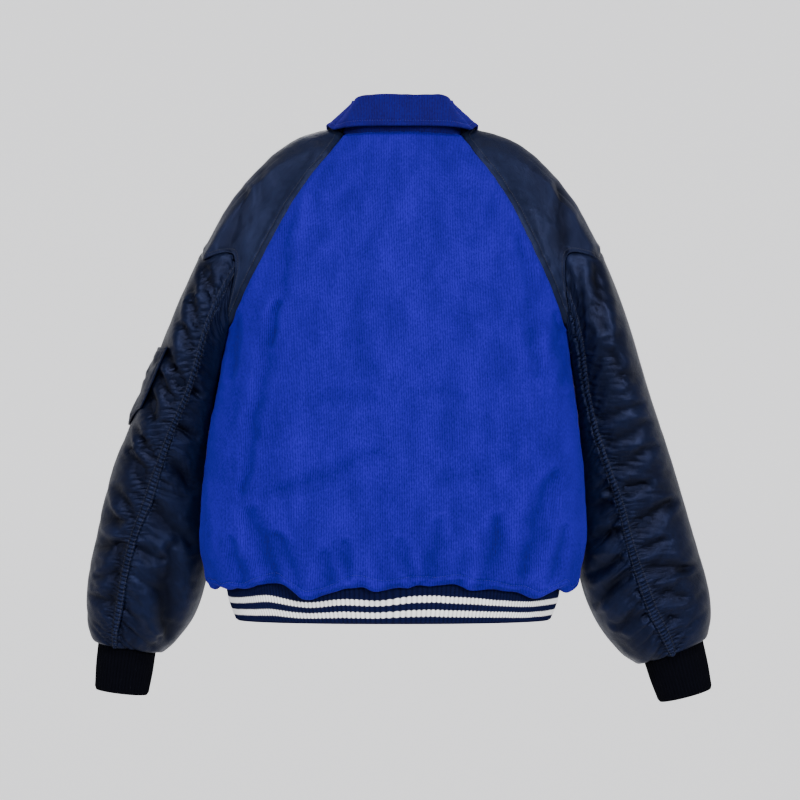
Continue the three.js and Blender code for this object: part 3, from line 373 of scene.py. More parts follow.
def painted_shading_from(offset):
    """Painted shading by how far the cloth lies in a crease (1, painted darker) or on a ridge (-0.5,
    painted paler): -offset / 6, in mm.
    """
    return np.clip(-offset / 6, -0.5, 1)


def walled(base, offset, deep, wall, facing, step=3):
    """Outer grid: base moved out by offset. Inner: every step-th point, following only the
    deep folds, a wall's thickness in."""
    normal = normals(base, facing)
    offset = np.maximum(offset, deep - wall + 0.9)
    outer = base + normal * offset[..., None]
    inner = (base + normal * (deep - wall)[..., None])[::step, ::step]
    return outer, inner, offset


def bump_at(distance, place, width):
    """A rounded swell of height 1: exp(-((distance - place) / width)^2)."""
    return np.exp(-(((distance - place) / width) ** 2))


def seam_groove(distance, depth=1.6, width=2.6):
    """How the cloth dips to a seam, and swells again beside it."""
    return 0.55 * bump_at(distance, 3.2 * width, 1.6 * width) - depth * bump_at(distance, 0, width)


def corduroy(name, valley, wale, light):
    """Corduroy: rounded wales down the cloth, with painted shade in the valleys between them,
    and a short brushed nap that lies unevenly, paler where it stands up. Creases are painted
    darker and ridges painted paler. A real wale is 1.8 mm wide, too fine to show: these are
    2.2 mm apart. Tufts are about 2 x 4 mm, brushed patches 30 x 65 mm."""
    made, tree, shader = material(name)
    place = add(tree, "UVMap", uv_map="cloth")
    split = add(tree, "SeparateXYZ", {"Vector": place})
    warp = add(tree, "TexNoise", {"Vector": place, "Scale": 60.0, "Detail": 2.0})
    drift = add(tree, "Math", {0: warp, 1: 0.5 * MM}, operation="MULTIPLY")
    across = add(tree, "Math", {0: split.outputs["X"], 1: drift}, operation="ADD")
    turn = add(tree, "Math", {0: across, 1: 2 * math.pi / (2.2 * MM)}, operation="MULTIPLY")
    wave = add(tree, "Math", {0: turn}, operation="SINE")
    round_wale = add(tree, "MapRange", {"Value": wave, "From Min": -1.0, "From Max": 0.5})
    fine = add(tree, "Mapping", {"Vector": place, "Scale": (520, 260, 1)})
    tufts = add(tree, "TexNoise", {"Vector": fine, "Scale": 1.0, "Detail": 4.0, "Roughness": 0.6})
    broad = add(tree, "Mapping", {"Vector": place, "Scale": (34, 15, 1)})
    patches = add(tree, "TexNoise", {"Vector": broad, "Scale": 1.0, "Detail": 4.0, "Roughness": 0.62})
    # Painted shade: the valleys between the wales get the darker colour, the wale tops the paler one.
    blend = {"Factor": round_wale, "A": linear(valley), "B": linear(wale)}
    base = add(tree, "Mix", blend, data_type="RGBA")
    brushed = add(tree, "MapRange", {"Value": tufts, "From Min": 0.4, "From Max": 0.7, "To Max": 0.5})
    lit = add(tree, "Mix", {"Factor": brushed, "A": base, "B": linear(light)}, data_type="RGBA")
    spread = {"Value": patches, "From Min": 0.35, "From Max": 0.65, "To Min": 0.8, "To Max": 1.12}
    worn = add(tree, "MapRange", spread)
    # Painted light and shade: the colour is scaled up to 1.12 on ridges and down to 0.66 in creases.
    painted_shading = add(tree, "Attribute", attribute_name="painted_shading").outputs["Fac"]
    shade = add(tree, "MapRange", {"Value": painted_shading, "From Min": -0.5, "To Min": 1.12, "To Max": 0.66})
    both = add(tree, "Math", {0: worn, 1: shade}, operation="MULTIPLY")
    colour = add(tree, "VectorMath", {0: lit, "Scale": both}, operation="SCALE")
    fuzz = add(tree, "Math", {0: tufts, 1: 0.5}, operation="MULTIPLY")
    height = add(tree, "Math", {0: round_wale, 1: fuzz}, operation="ADD")
    bump = add(tree, "Bump", {"Height": height, "Strength": 0.7, "Distance": 0.5 * MM})
    finish = {
        "Base Color": colour, "Normal": bump, "Roughness": 0.92, "Specular IOR Level": 0.12,
        "Sheen Weight": 0.26, "Sheen Roughness": 0.45, "Sheen Tint": linear("4c3cff"),
    }
    wire(tree, shader, finish)
    return made


# Creases pulled by the seams and the hem: from x, z to x, z, then width and depth, in mm.
BACK_FOLDS = {
    1: [
        (212, -250, 222, -330, 10, 4), (-214, -250, -224, -340, 10, 4), (95, -360, 20, -366, 12, 2),
        (-20, -352, -92, -358, 10, 1.6), (150, -484, 20, -432, 12, 3), (-60, -470, -150, -440, 14, 2.4),
        (186, -510, 158, -596, 14, 6), (151, -545, 122, -606, 12, 6), (92, -560, 84, -600, 9, 3.5),
        (65, -550, 60, -596, 8, 6), (24, -566, 22, -600, 9, 3), (-7, -545, -22, -592, 9, 6),
        (-62, -526, -44, -596, 12, 5), (-98, -556, -88, -600, 9, 3.4), (-140, -520, -116, -602, 14, 6),
        (-210, -460, -172, -590, 14, 6), (-228, -530, -206, -600, 9, 4), (216, -545, 200, -600, 9, 4),
        (142, -90, 163, -290, 9, 4.5), (160, -240, 199, -480, 9, 5), (-160, -150, -186, -330, 10, 3.4),
        (60, -200, 40, -330, 18, 2), (-90, -220, -70, -340, 18, 2), (120, -90, 96, -150, 12, 2),
        (-122, -96, -98, -160, 12, 2),
    ],
}


def back_surface(u, v):
    """u runs from the wearer's left seam to the right one. v is -1 to 0 in the hem's roll,
    1 at the armpit and 2 at the neck."""
    row = RAGLAN_ROWS * (2 - v)
    z = np.where(v <= 1, mix(HEM_Z, ARMPIT_Z, v), by_row(RAGLAN, "back_z", row))
    seam = np.where(v <= 1, side_seam(z), np.radians(by_row(RAGLAN, "back_angle", row)))
    edge = seam + SEAM_GAP / SEAM_RADIUS
    angle = mix(edge, math.pi - edge, u)
    return np.where((v < 0)[..., None], hem_roll(angle, -v * 4), torso(angle, z))


def grid(us, vs):
    """Two arrays of all pairs."""
    return np.meshgrid(us, vs, indexing="ij")


def body_rows(roll, lower, upper):
    """Places up a body panel, with their own counts in the roll and below and above the armpit."""
    below = [np.linspace(-1, 0, roll + 1)[:-1], np.linspace(0, 1, lower + 1)[:-1]]
    return np.concatenate([*below, np.linspace(1, 1.998, upper + 1)])


# How far the hem dips (-) or rises (+) along its back and front, as a share of 8 mm.
HEM_WAVE = {
    "x": [-260, -223, -183, -105, -29, 20, 63, 115, 165, 210, 260],
    "back": [-0.2, -0.5, -1, 0.3, 1, -0.3, 0.1, -0.9, 0.8, -0.2, 0],
    "front": [0, -0.6, 0.7, -0.5, 0.5, 0.4, -0.8, 0.3, -0.6, 0.5, 0],
}


def hem_wave(points):
    """How the body's hem and the rib's top rise and dip, in mm: smooth along the hem."""
    back, front = columns(HEM_WAVE, points[..., 0])
    return 3 + 8 * mix(front, back, ease((points[..., 1] + 80) / 160))


def hem_puff(points, v):
    """The body's cloth blouses over the rib: uneven swells that fade up from the hem."""
    rise = np.exp(-np.maximum(v, 0) * 5.5) * ease((v + 1) / 0.6)
    turn = np.arctan2(points[..., 1] - 28, points[..., 0])
    waves = np.sin(11 * turn + 0.5) + 0.9 * np.sin(18 * turn + 2) + 0.5 * np.sin(29 * turn + 1)
    return 1.3 * rise * waves


def hem_ridge(up):
    """The folded hem's edge shows as a ridge, and its stitching sinks in above it."""
    return 0.9 * bump_at(up, HEM_STITCHES - 5, 2.2) - 1.1 * bump_at(up, HEM_STITCHES, 1.8)


def calmer(v):
    """How much of the side seam's groove is left round the hem's roll."""
    return 0.15 + 0.85 * ease((v + 0.04) / 0.12)


def body_swells(base, v, lines, side, near, to_seam, seed):
    """A body panel's deep swells, which its lining follows, and all its swells, in mm: near
    is the distance to its nearest upright edge, to_seam that to its side seam."""
    deep = -folds(lines, base, normals(base, side)) * ease(near / 24)
    deep += hem_puff(base, v) * ease(near / 20)
    up = arc(base, 1)
    offset = deep + seam_groove(to_seam) * calmer(v) + seam_groove(up[:, -1:] - up) + hem_ridge(up)
    offset += 0.9 * crumple(base, 95, seed) * ease(near / 30) + 0.3 * crumple(base, 22, seed + 1)
    return deep, offset


u, v = grid(np.linspace(0, 1, 181), body_rows(36, 120, 96))
base = back_surface(u, v)
base[..., 2] += hem_wave(base) * (1 - ease(v / 0.16))
across, up = arc(base, 0), arc(base, 1)
to_side = np.minimum(across, across[-1] - across)
deep, offset = body_swells(base, v, BACK_FOLDS, 1, to_side, to_side, 3)
outer, inner, offset = walled(base, offset, deep, BODY_WALL, 1)
blue_corduroy = corduroy("blue corduroy", "100052", "1b008a", "2a10ae")
walls = (outer, inner, (across - across[90], up), painted_shading_from(offset))
back = cloth("back", walls, blue_corduroy)


def thread(name, dark, tone):
    """Polyester sewing thread: twisted plies and loose fibres, under a slight gloss, with
    painted shade between the plies. Real plies turn every 0.6 mm, too fine to show: these
    turn every 1.2 mm."""
    made, tree, shader = material(name)
    place = add(tree, "UVMap", uv_map="cloth")
    pitch = 2 * math.pi / (1.2 * MM)
    turn = add(tree, "VectorMath", {0: place, 1: (pitch, pitch, 0)}, operation="DOT_PRODUCT")
    ply = add(tree, "Math", {0: turn}, operation="SINE")
    fray = add(tree, "TexNoise", {"Vector": place, "Scale": 900.0})
    both = add(tree, "Math", {0: ply, 1: fray}, operation="ADD")
    # Partly painted shade: darker in the grooves between the plies; the loose fibres vary the tone.
    colour = add(tree, "Mix", {"Factor": both, "A": linear(dark), "B": linear(tone)}, data_type="RGBA")
    bump = add(tree, "Bump", {"Height": both, "Strength": 0.5, "Distance": 0.1 * MM})
    wire(tree, shader, {"Base Color": colour, "Normal": bump, "Roughness": 0.5})
    return made


def line_at(outer, normal, distance, inset):
    """The line on a grid, with its normals, where the distance from the first point of each
    row reaches inset."""
    rows = np.arange(len(distance))
    k = np.argmax(distance >= inset, axis=1)
    near, far = distance[rows, k - 1], distance[rows, k]
    t = ((inset - near) / (far - near))[:, None]
    return [mix(a[rows, k - 1], a[rows, k], t) for a in (outer, normal)]


def backwards(*grids):
    """Grids with the order of each row's points turned round."""
    return [each[:, ::-1] for each in grids]


def turned_over(points):
    """A grid with its rows as columns."""
    return np.swapaxes(points, 0, 1)


STITCH_PITCH, STITCH_HALF, ROD_SIDES = 3.4, 1.3, 5


def stitching(name, lines, surface):
    """Lockstitches 2.6 mm long, 3.4 mm apart, along lines of points and normals: each is a
    rod that bulges in its middle, cos-shaped, and whose ends dip into the cloth."""
    found = []
    for line, normal in lines:
        far = np.concatenate([[0], np.cumsum(np.linalg.norm(np.diff(line, axis=0), axis=1))])
        at = np.arange(2, far[-1] - 2, STITCH_PITCH)
        wanted = [(line, at), (line, at + 1), (line, at - 1), (normal, at)]
        found.append([np.stack([np.interp(x, far, a[:, k]) for k in range(3)], 1) for a, x in wanted])
    centre, ahead, behind, up = (np.concatenate(part) for part in zip(*found))
    way = ahead - behind
    way /= np.linalg.norm(way, axis=1, keepdims=True)
    side = np.cross(up, way)
    side /= np.linalg.norm(side, axis=1, keepdims=True)
    ring = np.arange(ROD_SIDES)
    along, turn = grid(np.array([-STITCH_HALF, 0, STITCH_HALF]), ring * 2 * math.pi / ROD_SIDES)
    thick = 0.2 + 0.2 * np.cos(along * 0.9)
    bulge = thick * np.sin(turn) + 0.45 * np.cos(along * 1.2) - 0.2
    parts = [(along, way), (thick * np.cos(turn), side), (bulge, up)]
    points = sum(amount.reshape(-1, 1) * axis[:, None] for amount, axis in parts) + centre[:, None]
    after = (ring + 1) % ROD_SIDES
    first = np.stack([ring, ring + ROD_SIDES, after + ROD_SIDES, after], 1)
    quads = np.concatenate([first, first + ROD_SIDES])
    start = 3 * ROD_SIDES * np.arange(len(centre))[:, None]
    faces = (start[..., None] + quads).reshape(-1, 4).tolist()
    faces += (start + ring).tolist() + (start + 2 * ROD_SIDES + ring[::-1]).tolist()
    mesh = bpy.data.meshes.new(name)
    mesh.from_pydata((lean(points.reshape(-1, 3)) * MM).tolist(), [], faces)
    mesh.polygons.foreach_set("use_smooth", np.ones(len(faces), bool))
    loops = np.empty(len(mesh.loops), np.int32)
    mesh.loops.foreach_get("vertex_index", loops)
    flat = np.tile(np.stack([along, 0.4 * turn], -1).reshape(-1, 2) * MM, (len(centre), 1))
    mesh.uv_layers.new(name="cloth").data.foreach_set("uv", flat[loops].astype(np.float32).ravel())
    made = link_mesh(name, mesh, surface)
    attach(made, "jacket")


blue_thread = thread("blue polyester thread", "06013c", "1206a4")
stitching("back_stitches", [line_at(outer, normals(outer), up, HEM_STITCHES)], blue_thread)

# ---- Fronts --------------------------------------------------------------------------
# Two plain fronts of the same corduroy, sewn to the back at the side seams and to the
# shoulders at the raglan seams, each turned in and topstitched beside the zip.
FRONT_EDGE, NECK_FRONT_Z = 6, -72
FRONT_FOLDS = {
    -1: [
        (208, -260, 190, -350, 11, 4), (-208, -260, -186, -356, 11, 4), (150, -500, 128, -596, 12, 4),
        (104, -560, 98, -600, 7, 2.4), (70, -548, 60, -600, 9, 3.2), (36, -565, 33, -600, 7, 2),
        (-84, -530, -64, -600, 10, 3.6), (-36, -565, -32, -600, 7, 2), (-122, -556, -112, -600, 7, 2.4),
        (-168, -490, -150, -598, 12, 4), (192, -540, 176, -600, 8, 3), (-206, -540, -192, -600, 8, 3),
        (120, -400, 40, -388, 12, 1.6), (-130, -420, -50, -404, 12, 1.8),
    ],
}


def front_surface(side):
    """The front on a side (1 is the wearer's left), as a function of u and v."""

    def place(u, v):
        """u runs from the zip to the seam, v as on the back."""
        row = RAGLAN_ROWS * (2 - v)
        centre = np.where(v <= 1, mix(HEM_Z, ARMPIT_Z, v), mix(ARMPIT_Z, NECK_FRONT_Z, v - 1))
        seam_z = np.where(v <= 1, centre, by_row(RAGLAN, "front_z", row))
        z = mix(centre, seam_z, u * u)
        seam = np.where(v <= 1, -side_seam(z), np.radians(by_row(RAGLAN, "front_angle", row)))
        angle = -mix(torso_angle(FRONT_EDGE, z), seam + SEAM_GAP / SEAM_RADIUS, u)
        points = np.where((v < 0)[..., None], hem_roll(angle, -v * 4), torso(angle, z))
        return points * [side, 1, 1]

    return place


u, v = grid(np.linspace(0, 1, 91), body_rows(30, 108, 81))
for name, side in (("front_left", 1), ("front_right", -1)):
    base = front_surface(side)(u, v)
    base[..., 2] += hem_wave(base) * (1 - ease(v / 0.16))
    across, up = arc(base, 0), arc(base, 1)
    to_seam = across[-1] - across
    near = np.minimum(across, to_seam)
    deep, offset = body_swells(base, v, FRONT_FOLDS, side, near, to_seam, 5)
    offset -= 0.8 * bump_at(across, 7, 1.8) + 0.8 * bump_at(across, 0, 1.5)
    outer, inner, offset = walled(base, offset, deep, BODY_WALL, side)
    walls = (outer, inner, (across, up), painted_shading_from(offset), side)
    front = cloth(name, walls, blue_corduroy)
    out_normal = normals(outer, side)
    hem_line = line_at(outer, out_normal, up, HEM_STITCHES)
    zip_line = line_at(*(turned_over(each)[16:] for each in (outer, out_normal, across)), 7)
    stitching(name + "_stitches", [hem_line, zip_line], blue_thread)

# ---- Shoulders -----------------------------------------------------------------------
# Raglan shoulders of padded nylon twill: each runs from the collar over the shoulder and
# round under the arm, topstitched beside the raglan seam, with slack folds towards the arm.
SLEEVE_WALL = 3.8
ARM_CLEARANCE = 3.5
NECK_FROM, NECK_TO = 0.42, 0.58
# Sections down each hanging arm, in mm, with tilts and the gathered seams' angles in degrees.
ARMS = {
    1: {
        "z": [-300, -350, -400, -450, -500, -550, -600, -645, -680, -698, -700],
        "x": [278, 290, 305, 319, 327, 333, 339, 347, 358, 364, 366],
        "y": [-3, -10, -18, -27, -36, -44, -52, -59, -64, -66, -67],
        "half": [44, 50, 55, 61, 67, 72, 77, 74, 62, 49, 43],
        "depth": [91, 87, 82, 78, 74, 71, 69, 65, 57, 48, 41],
        "tilt": [0, 0, 0, 0, 1, 3, 5, 8, 10, 10, 10],
        "seam": [65, 70, 77, 81, 87, 96, 100, 101, 101, 100, 100],
    },
    -1: {
        "z": [-300, -350, -400, -450, -500, -550, -600, -645, -682, -703, -706],
        "x": [281, 293, 306, 318, 328, 336, 343, 356, 371, 381, 385],
        "y": [-3, -10, -18, -27, -36, -44, -52, -59, -64, -66, -67],
        "half": [44, 49, 55, 61, 67, 74, 81, 79, 68, 53, 46],
        "depth": [91, 87, 82, 78, 74, 71, 70, 67, 60, 50, 43],
        "tilt": [0, 0, 0, 0, 1, 3, 8, 14, 19, 21, 21],
        "seam": [38, 38, 45, 56, 67, 73, 80, 82, 84, 83, 81],
    },
}
DROP_SEAM = {
    "at": [0, 0.1, 0.2, 0.29, 0.38, 0.5, 0.62, 0.71, 0.8, 0.9, 1],
    "share": [0.4, 0.36, 0.42, 0.58, 0.69, 0.68, 0.69, 0.58, 0.42, 0.36, 0.4],
}
SHOULDER_FOLDS = {
    1: [
        (212, -82, 228, -200, 12, 5), (-208, -78, -228, -210, 12, 6), (-262, -170, -272, -270, 11, 4),
        (244, -170, 256, -240, 9, 2), (-238, -120, -252, -200, 9, 2), (186, -60, 200, -120, 10, 1.6),
        (-176, -58, -196, -120, 10, 1.6),
    ],
    -1: [
        (214, -90, 232, -240, 12, 6), (-214, -90, -232, -240, 12, 6), (180, -80, 196, -150, 9, 2),
        (-180, -80, -198, -150, 9, 2),
    ],
}


def raglan_point(row, side):
    """Point of the raglan seam on the back (side 1) or front (-1), by its table's row."""
    name = "back" if side > 0 else "front"
    return torso(side * np.radians(by_row(RAGLAN, name + "_angle", row)), by_row(RAGLAN, name + "_z", row))


def armhole(s):
    """The raglan seam's loop on the wearer's left: 0 at the armpit, up the back, over the
    side of the neck, and down the front to 1."""
    back = raglan_point(RAGLAN_ROWS * (1 - s / NECK_FROM), 1)
    front = raglan_point(RAGLAN_ROWS * (s - NECK_TO) / (1 - NECK_TO), -1)
    t = np.clip((s - NECK_FROM) / (NECK_TO - NECK_FROM), 0, 1)[..., None]
    start, end = raglan_point(np.array(0.0), 1), raglan_point(np.array(0.0), -1)
    control = 2 * np.array([87, -2, 1]) - (start + end) / 2
    neck = (1 - t) ** 2 * start + 2 * t * (1 - t) * control + t * t * end
    return np.where((s < NECK_FROM)[..., None], back, np.where((s > NECK_TO)[..., None], front, neck))


def unit(vectors):
    """Vectors at length 1."""
    return vectors / np.linalg.norm(vectors, axis=-1, keepdims=True)


def leaving(s):
    """How the shoulder's cloth leaves the raglan seam: along the body and square to the
    seam, but outwards beside the neck, and outwards and down at the armpit."""
    near = 0.03
    share = np.minimum(np.minimum(s, 1 - s), NECK_FROM)
    ways = []
    for side in (1, -1):
        name = "back" if side > 0 else "front"
        row = RAGLAN_ROWS * (1 - share / NECK_FROM)
        angle = side * np.radians(by_row(RAGLAN, name + "_angle", row))
        z = by_row(RAGLAN, name + "_z", row)
        down = torso(angle, z - 20) - torso(angle, z + 20)
        around = torso(angle + near, z) - torso(angle - near, z)
        ahead, behind = np.minimum(share + near, NECK_FROM), np.maximum(share - near, 0)
        if side > 0:
            along = armhole(ahead) - armhole(behind)
        else:
            along = armhole(1 - ahead) - armhole(1 - behind)
        way = np.cross(unit(along), unit(np.cross(down, around)))
        ways.append(way * np.where(way[..., :1] < 0, -1, 1))
    way = np.where((s > 0.5)[..., None], ways[1], ways[0])
    from_armpit = np.minimum(s, 1 - s)[..., None]
    way = mix(way, np.array([0.98, 0, -0.03]), ease((from_armpit - 0.26) / 0.16))
    return unit(mix(way, np.array([1, 0, -0.35]), 1 - ease(from_armpit / 0.13)))


def arm_section(arm, s, row):
    """Section of a hanging sleeve: place round it, and row down its table."""
    out = -by_row(arm, "half", row) * bow(np.cos(2 * math.pi * s))
    tilt = np.radians(by_row(arm, "tilt", row))
    y = by_row(arm, "y", row) + by_row(arm, "depth", row) * bow(np.sin(2 * math.pi * s))
    x, z = by_row(arm, "x", row) + out * np.cos(tilt), by_row(arm, "z", row) + out * np.sin(tilt)
    return np.stack(np.broadcast_arrays(x, y, z), -1)


def body_bound(points):
    """How far out the body's side lies at the points' depths and heights."""
    half, line, back, front = columns(TORSO, points[..., 2])
    reach = np.where(points[..., 1] > line, back, front)
    share = np.minimum(np.abs((points[..., 1] - line) / (reach - line)), 1)
    return half * (1 - share**2.3) ** (1 / 2.3)


def clear_of_body(points, clearance):
    """Points moved out where the sleeve would press into the body."""
    bound = body_bound(points)
    room = points[..., 0] - bound - clearance
    moved = points.copy()
    held = bound + clearance + 10 * np.exp(np.minimum(room, 10) / 10 - 1)
    moved[..., 0] = np.where(room < 10, held, points[..., 0])
    return moved


def sleeve_point(arm, s, q):
    """The whole sleeve on the wearer's left: q from 0 to 1 is a cubic curve from the raglan
    seam to the arm's first section, and above 1 it goes down the arm's sections."""
    start, end = armhole(s), arm_section(arm, s, np.zeros_like(s))
    along = unit(arm_section(arm, s, np.full_like(s, 0.02)) - end)
    length = np.linalg.norm(end - start, axis=-1, keepdims=True)
    leave, arrive = start + 0.3 * length * leaving(s), end - 0.42 * length * along
    t = np.clip(q, 0, 1)[..., None]
    curve = (1 - t) ** 3 * start + 3 * t * (1 - t) ** 2 * leave + 3 * t * t * (1 - t) * arrive + t**3 * end
    upper = clear_of_body(curve, ARM_CLEARANCE * ease(2 * q) - 8 * (1 - ease(3 * q)))
    lower = clear_of_body(arm_section(arm, s, q - 1), ARM_CLEARANCE)
    return np.where((q >= 1)[..., None], lower, upper)


def drop_seam(s):
    """Where the shoulder ends, as a share of the way to the arm's first section."""
    return smooth(DROP_SEAM["at"], DROP_SEAM["share"], s)


def seam_share(arm, s):
    """The seam's gap as a share of the shoulder's length, wider at the armpit."""
    length = np.linalg.norm(armhole(s) - arm_section(arm, s, np.zeros_like(s)), axis=-1)
    return SEAM_GAP * mix(1.6, 1, ease(np.minimum(s, 1 - s) / 0.15)) / length


def nylon(name, deep_tone, tone, light):
    """Nylon twill with a satin sheen: its diagonal weave, real pitch 0.4 mm, is drawn at
    1.4 mm to show. Crinkles some 10 mm across break up the sheen, and their tops are painted
    paler, a painted highlight. Rubbed patches of 70 mm change its gloss, and creases are
    painted darker and ridges painted paler."""
    made, tree, shader = material(name)
    place = add(tree, "UVMap", uv_map="cloth")
    pitch = 2 * math.pi / (1.4 * MM)
    turn = add(tree, "VectorMath", {0: place, 1: (pitch, pitch, 0)}, operation="DOT_PRODUCT")
    twill = add(tree, "Math", {0: turn}, operation="SINE")
    uneven = {"Vector": place, "Scale": 95.0, "Detail": 5.0, "Roughness": 0.62, "Distortion": 0.6}
    crinkle = add(tree, "TexNoise", uneven)
    patches = add(tree, "TexNoise", {"Vector": place, "Scale": 14.0, "Detail": 3.0})
    ridged = add(tree, "MapRange", {"Value": crinkle, "From Min": 0.35, "From Max": 0.7})
    blend = {"Factor": patches, "A": linear(deep_tone), "B": linear(tone)}
    base = add(tree, "Mix", blend, data_type="RGBA")
    # Painted highlight: the crinkles' tops are mixed up to a quarter of the way towards the light colour.
    crinkle_highlight = add(tree, "Math", {0: ridged, 1: 0.25}, operation="MULTIPLY")
    lit = add(tree, "Mix", {"Factor": crinkle_highlight, "A": base, "B": linear(light)}, data_type="RGBA")
    # Painted light and shade: the colour is scaled up to 2.2 on ridges and down to 0.1 in creases.
    painted_shading = add(tree, "Attribute", attribute_name="painted_shading").outputs["Fac"]
    shade = add(tree, "MapRange", {"Value": painted_shading, "From Min": -0.5, "To Min": 2.2, "To Max": 0.1})
    colour = add(tree, "VectorMath", {0: lit, "Scale": shade}, operation="SCALE")
    fine = add(tree, "Math", {0: twill, 1: 0.06}, operation="MULTIPLY")
    height = add(tree, "Math", {0: crinkle, 1: fine}, operation="ADD")
    bump = add(tree, "Bump", {"Height": height, "Strength": 0.5, "Distance": 1.4 * MM})
    gloss = add(tree, "MapRange", {"Value": patches, "To Min": 0.33, "To Max": 0.43})
    finish = {
        "Base Color": colour, "Normal": bump, "Roughness": gloss, "Specular IOR Level": 0.5,
        "Specular Tint": linear("909de0"), "IOR": 1.36,
    }
    wire(tree, shader, finish)
    return made


navy_thread = thread("navy polyester thread", "0a0d18", "272d42")
# The shoulders' copy of the sleeves' nylon is painted lighter, for the light from above that falls on
# them.
shoulder_nylon_painted_lighter = nylon("navy nylon painted lighter on the shoulders", "080b18", "0d1123", "1a2138")
for name, side in (("left", 1), ("right", -1)):
    arm = ARMS[side]
    s, v = grid(np.linspace(0.002, 0.998, 241), np.linspace(0, 1, 70))
    edge = seam_share(arm, s)
    base = sleeve_point(arm, s, mix(edge, drop_seam(s) - edge, v)) * [side, 1, 1]
    down = arc(base, 1)
    tuck = 3 * ease((NECK_FROM - np.minimum(s, 1 - s)) / 0.03) * bump_at(down, 0, 5)
    base -= leaving(s) * [side, 1, 1] * tuck[..., None]
    normal = normals(base, side)
    around, down = arc(base, 0), arc(base, 1)
    to_drop = down[:, -1:] - down
    calm = ease(v / 0.4) * ease(to_drop / 8 + 0.3)
    deep = -folds(SHOULDER_FOLDS, base, normal) * calm
    pucker = 0.5 * bump_at(down, 13, 7) * crumple(base, 16, 11 + side)
    pucker += 0.6 * bump_at(to_drop, 9, 7) * crumple(base, 18, 15 + side)
    offset = deep + seam_groove(down, 1.2, 3) + seam_groove(to_drop, 1.0, 2) + pucker
    offset += 0.7 * crumple(base, 90, 21 + side) * ease(down / 30) + 0.25 * crumple(base, 26, 31 + side)
    offset -= 0.7 * bump_at(down, 11, 1.6) + 0.4 * tuck
    outer, inner, offset = walled(base, offset, deep, SLEEVE_WALL, side)
    walls = (outer, inner, (around, down), painted_shading_from(offset), side)
    shoulder = cloth(f"shoulder_{name}", walls, shoulder_nylon_painted_lighter)
    out_normal = normals(outer, side)
    raglan_line = line_at(outer, out_normal, down, 11)
    drop_line = line_at(*backwards(outer, out_normal, to_drop), 6)
    stitching(f"shoulder_{name}_stitches", [raglan_line, drop_line], navy_thread)

# ---- Under sleeves -------------------------------------------------------------------
# The inner part of each sleeve, of padded nylon twill, from the shoulder's seam to the cuff.
# Its back edge is sewn flat to the gathered upper sleeve, whose pull creases it unevenly.
BAND_SHARE = 10 / 450
SEAM_START = {1: 0.165, -1: 0.12}
ARM_FROM = 0.25
SLEEVE_FOLDS = {
    1: [
        (-262, -170, -272, -270, 11, 5), (242, -240, 269, -176, 7, 5), (255, -276, 278, -229, 7, 6),
        (278, -229, 285, -180, 7, 5), (266, -300, 284, -264, 7, 5.5), (282, -348, 301, -319, 8, 6),
        (301, -319, 311, -272, 8, 5.5), (295, -364, 319, -325, 7, 5), (319, -384, 340, -340, 8, 6),
        (319, -444, 338, -415, 8, 6), (338, -415, 356, -378, 8, 6), (330, -476, 356, -431, 8, 5.5),
        (356, -431, 366, -400, 8, 5), (346, -524, 374, -482, 8, 5.5), (362, -527, 398, -521, 9, 5.5),
        (362, -562, 404, -559, 9, 5.5), (368, -598, 400, -600, 8, 4.5), (378, -638, 406, -626, 8, 4.5),
        (310, -424, 268, -484, 9, 6), (284, -340, 262, -356, 8, 5), (300, -392, 266, -412, 9, 5),
        (330, -488, 276, -560, 11, 5), (352, -560, 312, -574, 9, 5), (346, -584, 326, -684, 14, -6),
        (300, -560, 306, -682, 14, 6), (372, -560, 372, -690, 11, 5), (358, -676, 356, -698, 7, 4),
        (322, -682, 330, -702, 7, 4), (-270, -396, -324, -367, 9, 4), (-278, -426, -338, -390, 10, 5),
        (-284, -458, -346, -424, 9, 4), (-290, -488, -338, -474, 9, 5.5),
        (-313, -542, -376, -503, 11, 7), (-322, -562, -362, -552, 8, 4.5),
        (-330, -588, -394, -590, 10, 6), (-336, -618, -396, -630, 10, 5),
        (-344, -654, -382, -661, 9, 5), (-284, -300, -296, -340, 9, 4), (-300, -330, -330, -318, 9, 4),
        (-254, -516, -290, -503, 9, 4.5), (-254, -560, -302, -540, 10, 6),
        (-257, -604, -302, -577, 10, 5.5), (-274, -642, -318, -592, 10, 6),
        (-300, -668, -340, -650, 9, 4), (-352, -676, -366, -702, 7, 4),
    ],
    -1: [
        (262, -430, 350, -470, 11, 6), (275, -520, 380, -548, 11, 6), (290, -620, 400, -636, 10, 6),
        (300, -350, 340, -368, 9, 4), (300, -580, 370, -590, 8, 4), (-262, -440, -345, -470, 11, 6),
        (-270, -530, -372, -560, 11, 6), (-285, -640, -392, -650, 10, 6),
        (-300, -360, -340, -380, 9, 4), (-296, -590, -370, -600, 8, 4),
    ],
}


def lower_sleeve(side, s, v):
    """Lower sleeve: v from the shoulder's seam (0) over the arm's first section (ARM_FROM)
    to the wrist (1), at place s round the arm."""
    arm = ARMS[side]
    top = drop_seam(s) + seam_share(arm, s)
    q = np.where(v < ARM_FROM, mix(top, 1, v / ARM_FROM), 1 + 10 * (v - ARM_FROM) / (1 - ARM_FROM))
    return sleeve_point(arm, s, q) * [side, 1, 1]


def seam_place(side, v):
    """Place round the arm of the gathered back seam."""
    row = 10 * np.maximum(0, (v - ARM_FROM) / (1 - ARM_FROM))
    target = by_row(ARMS[side], "seam", row) / 360
    return mix(SEAM_START[side], target, ease(v / 0.2))


def kept_clear(points, side):
    """Sleeve points kept 1.8 mm from the body."""
    moved = points * [side, 1, 1]
    moved[..., 0] = np.maximum(moved[..., 0], body_bound(moved) + 1.8)
    return moved * [side, 1, 1]


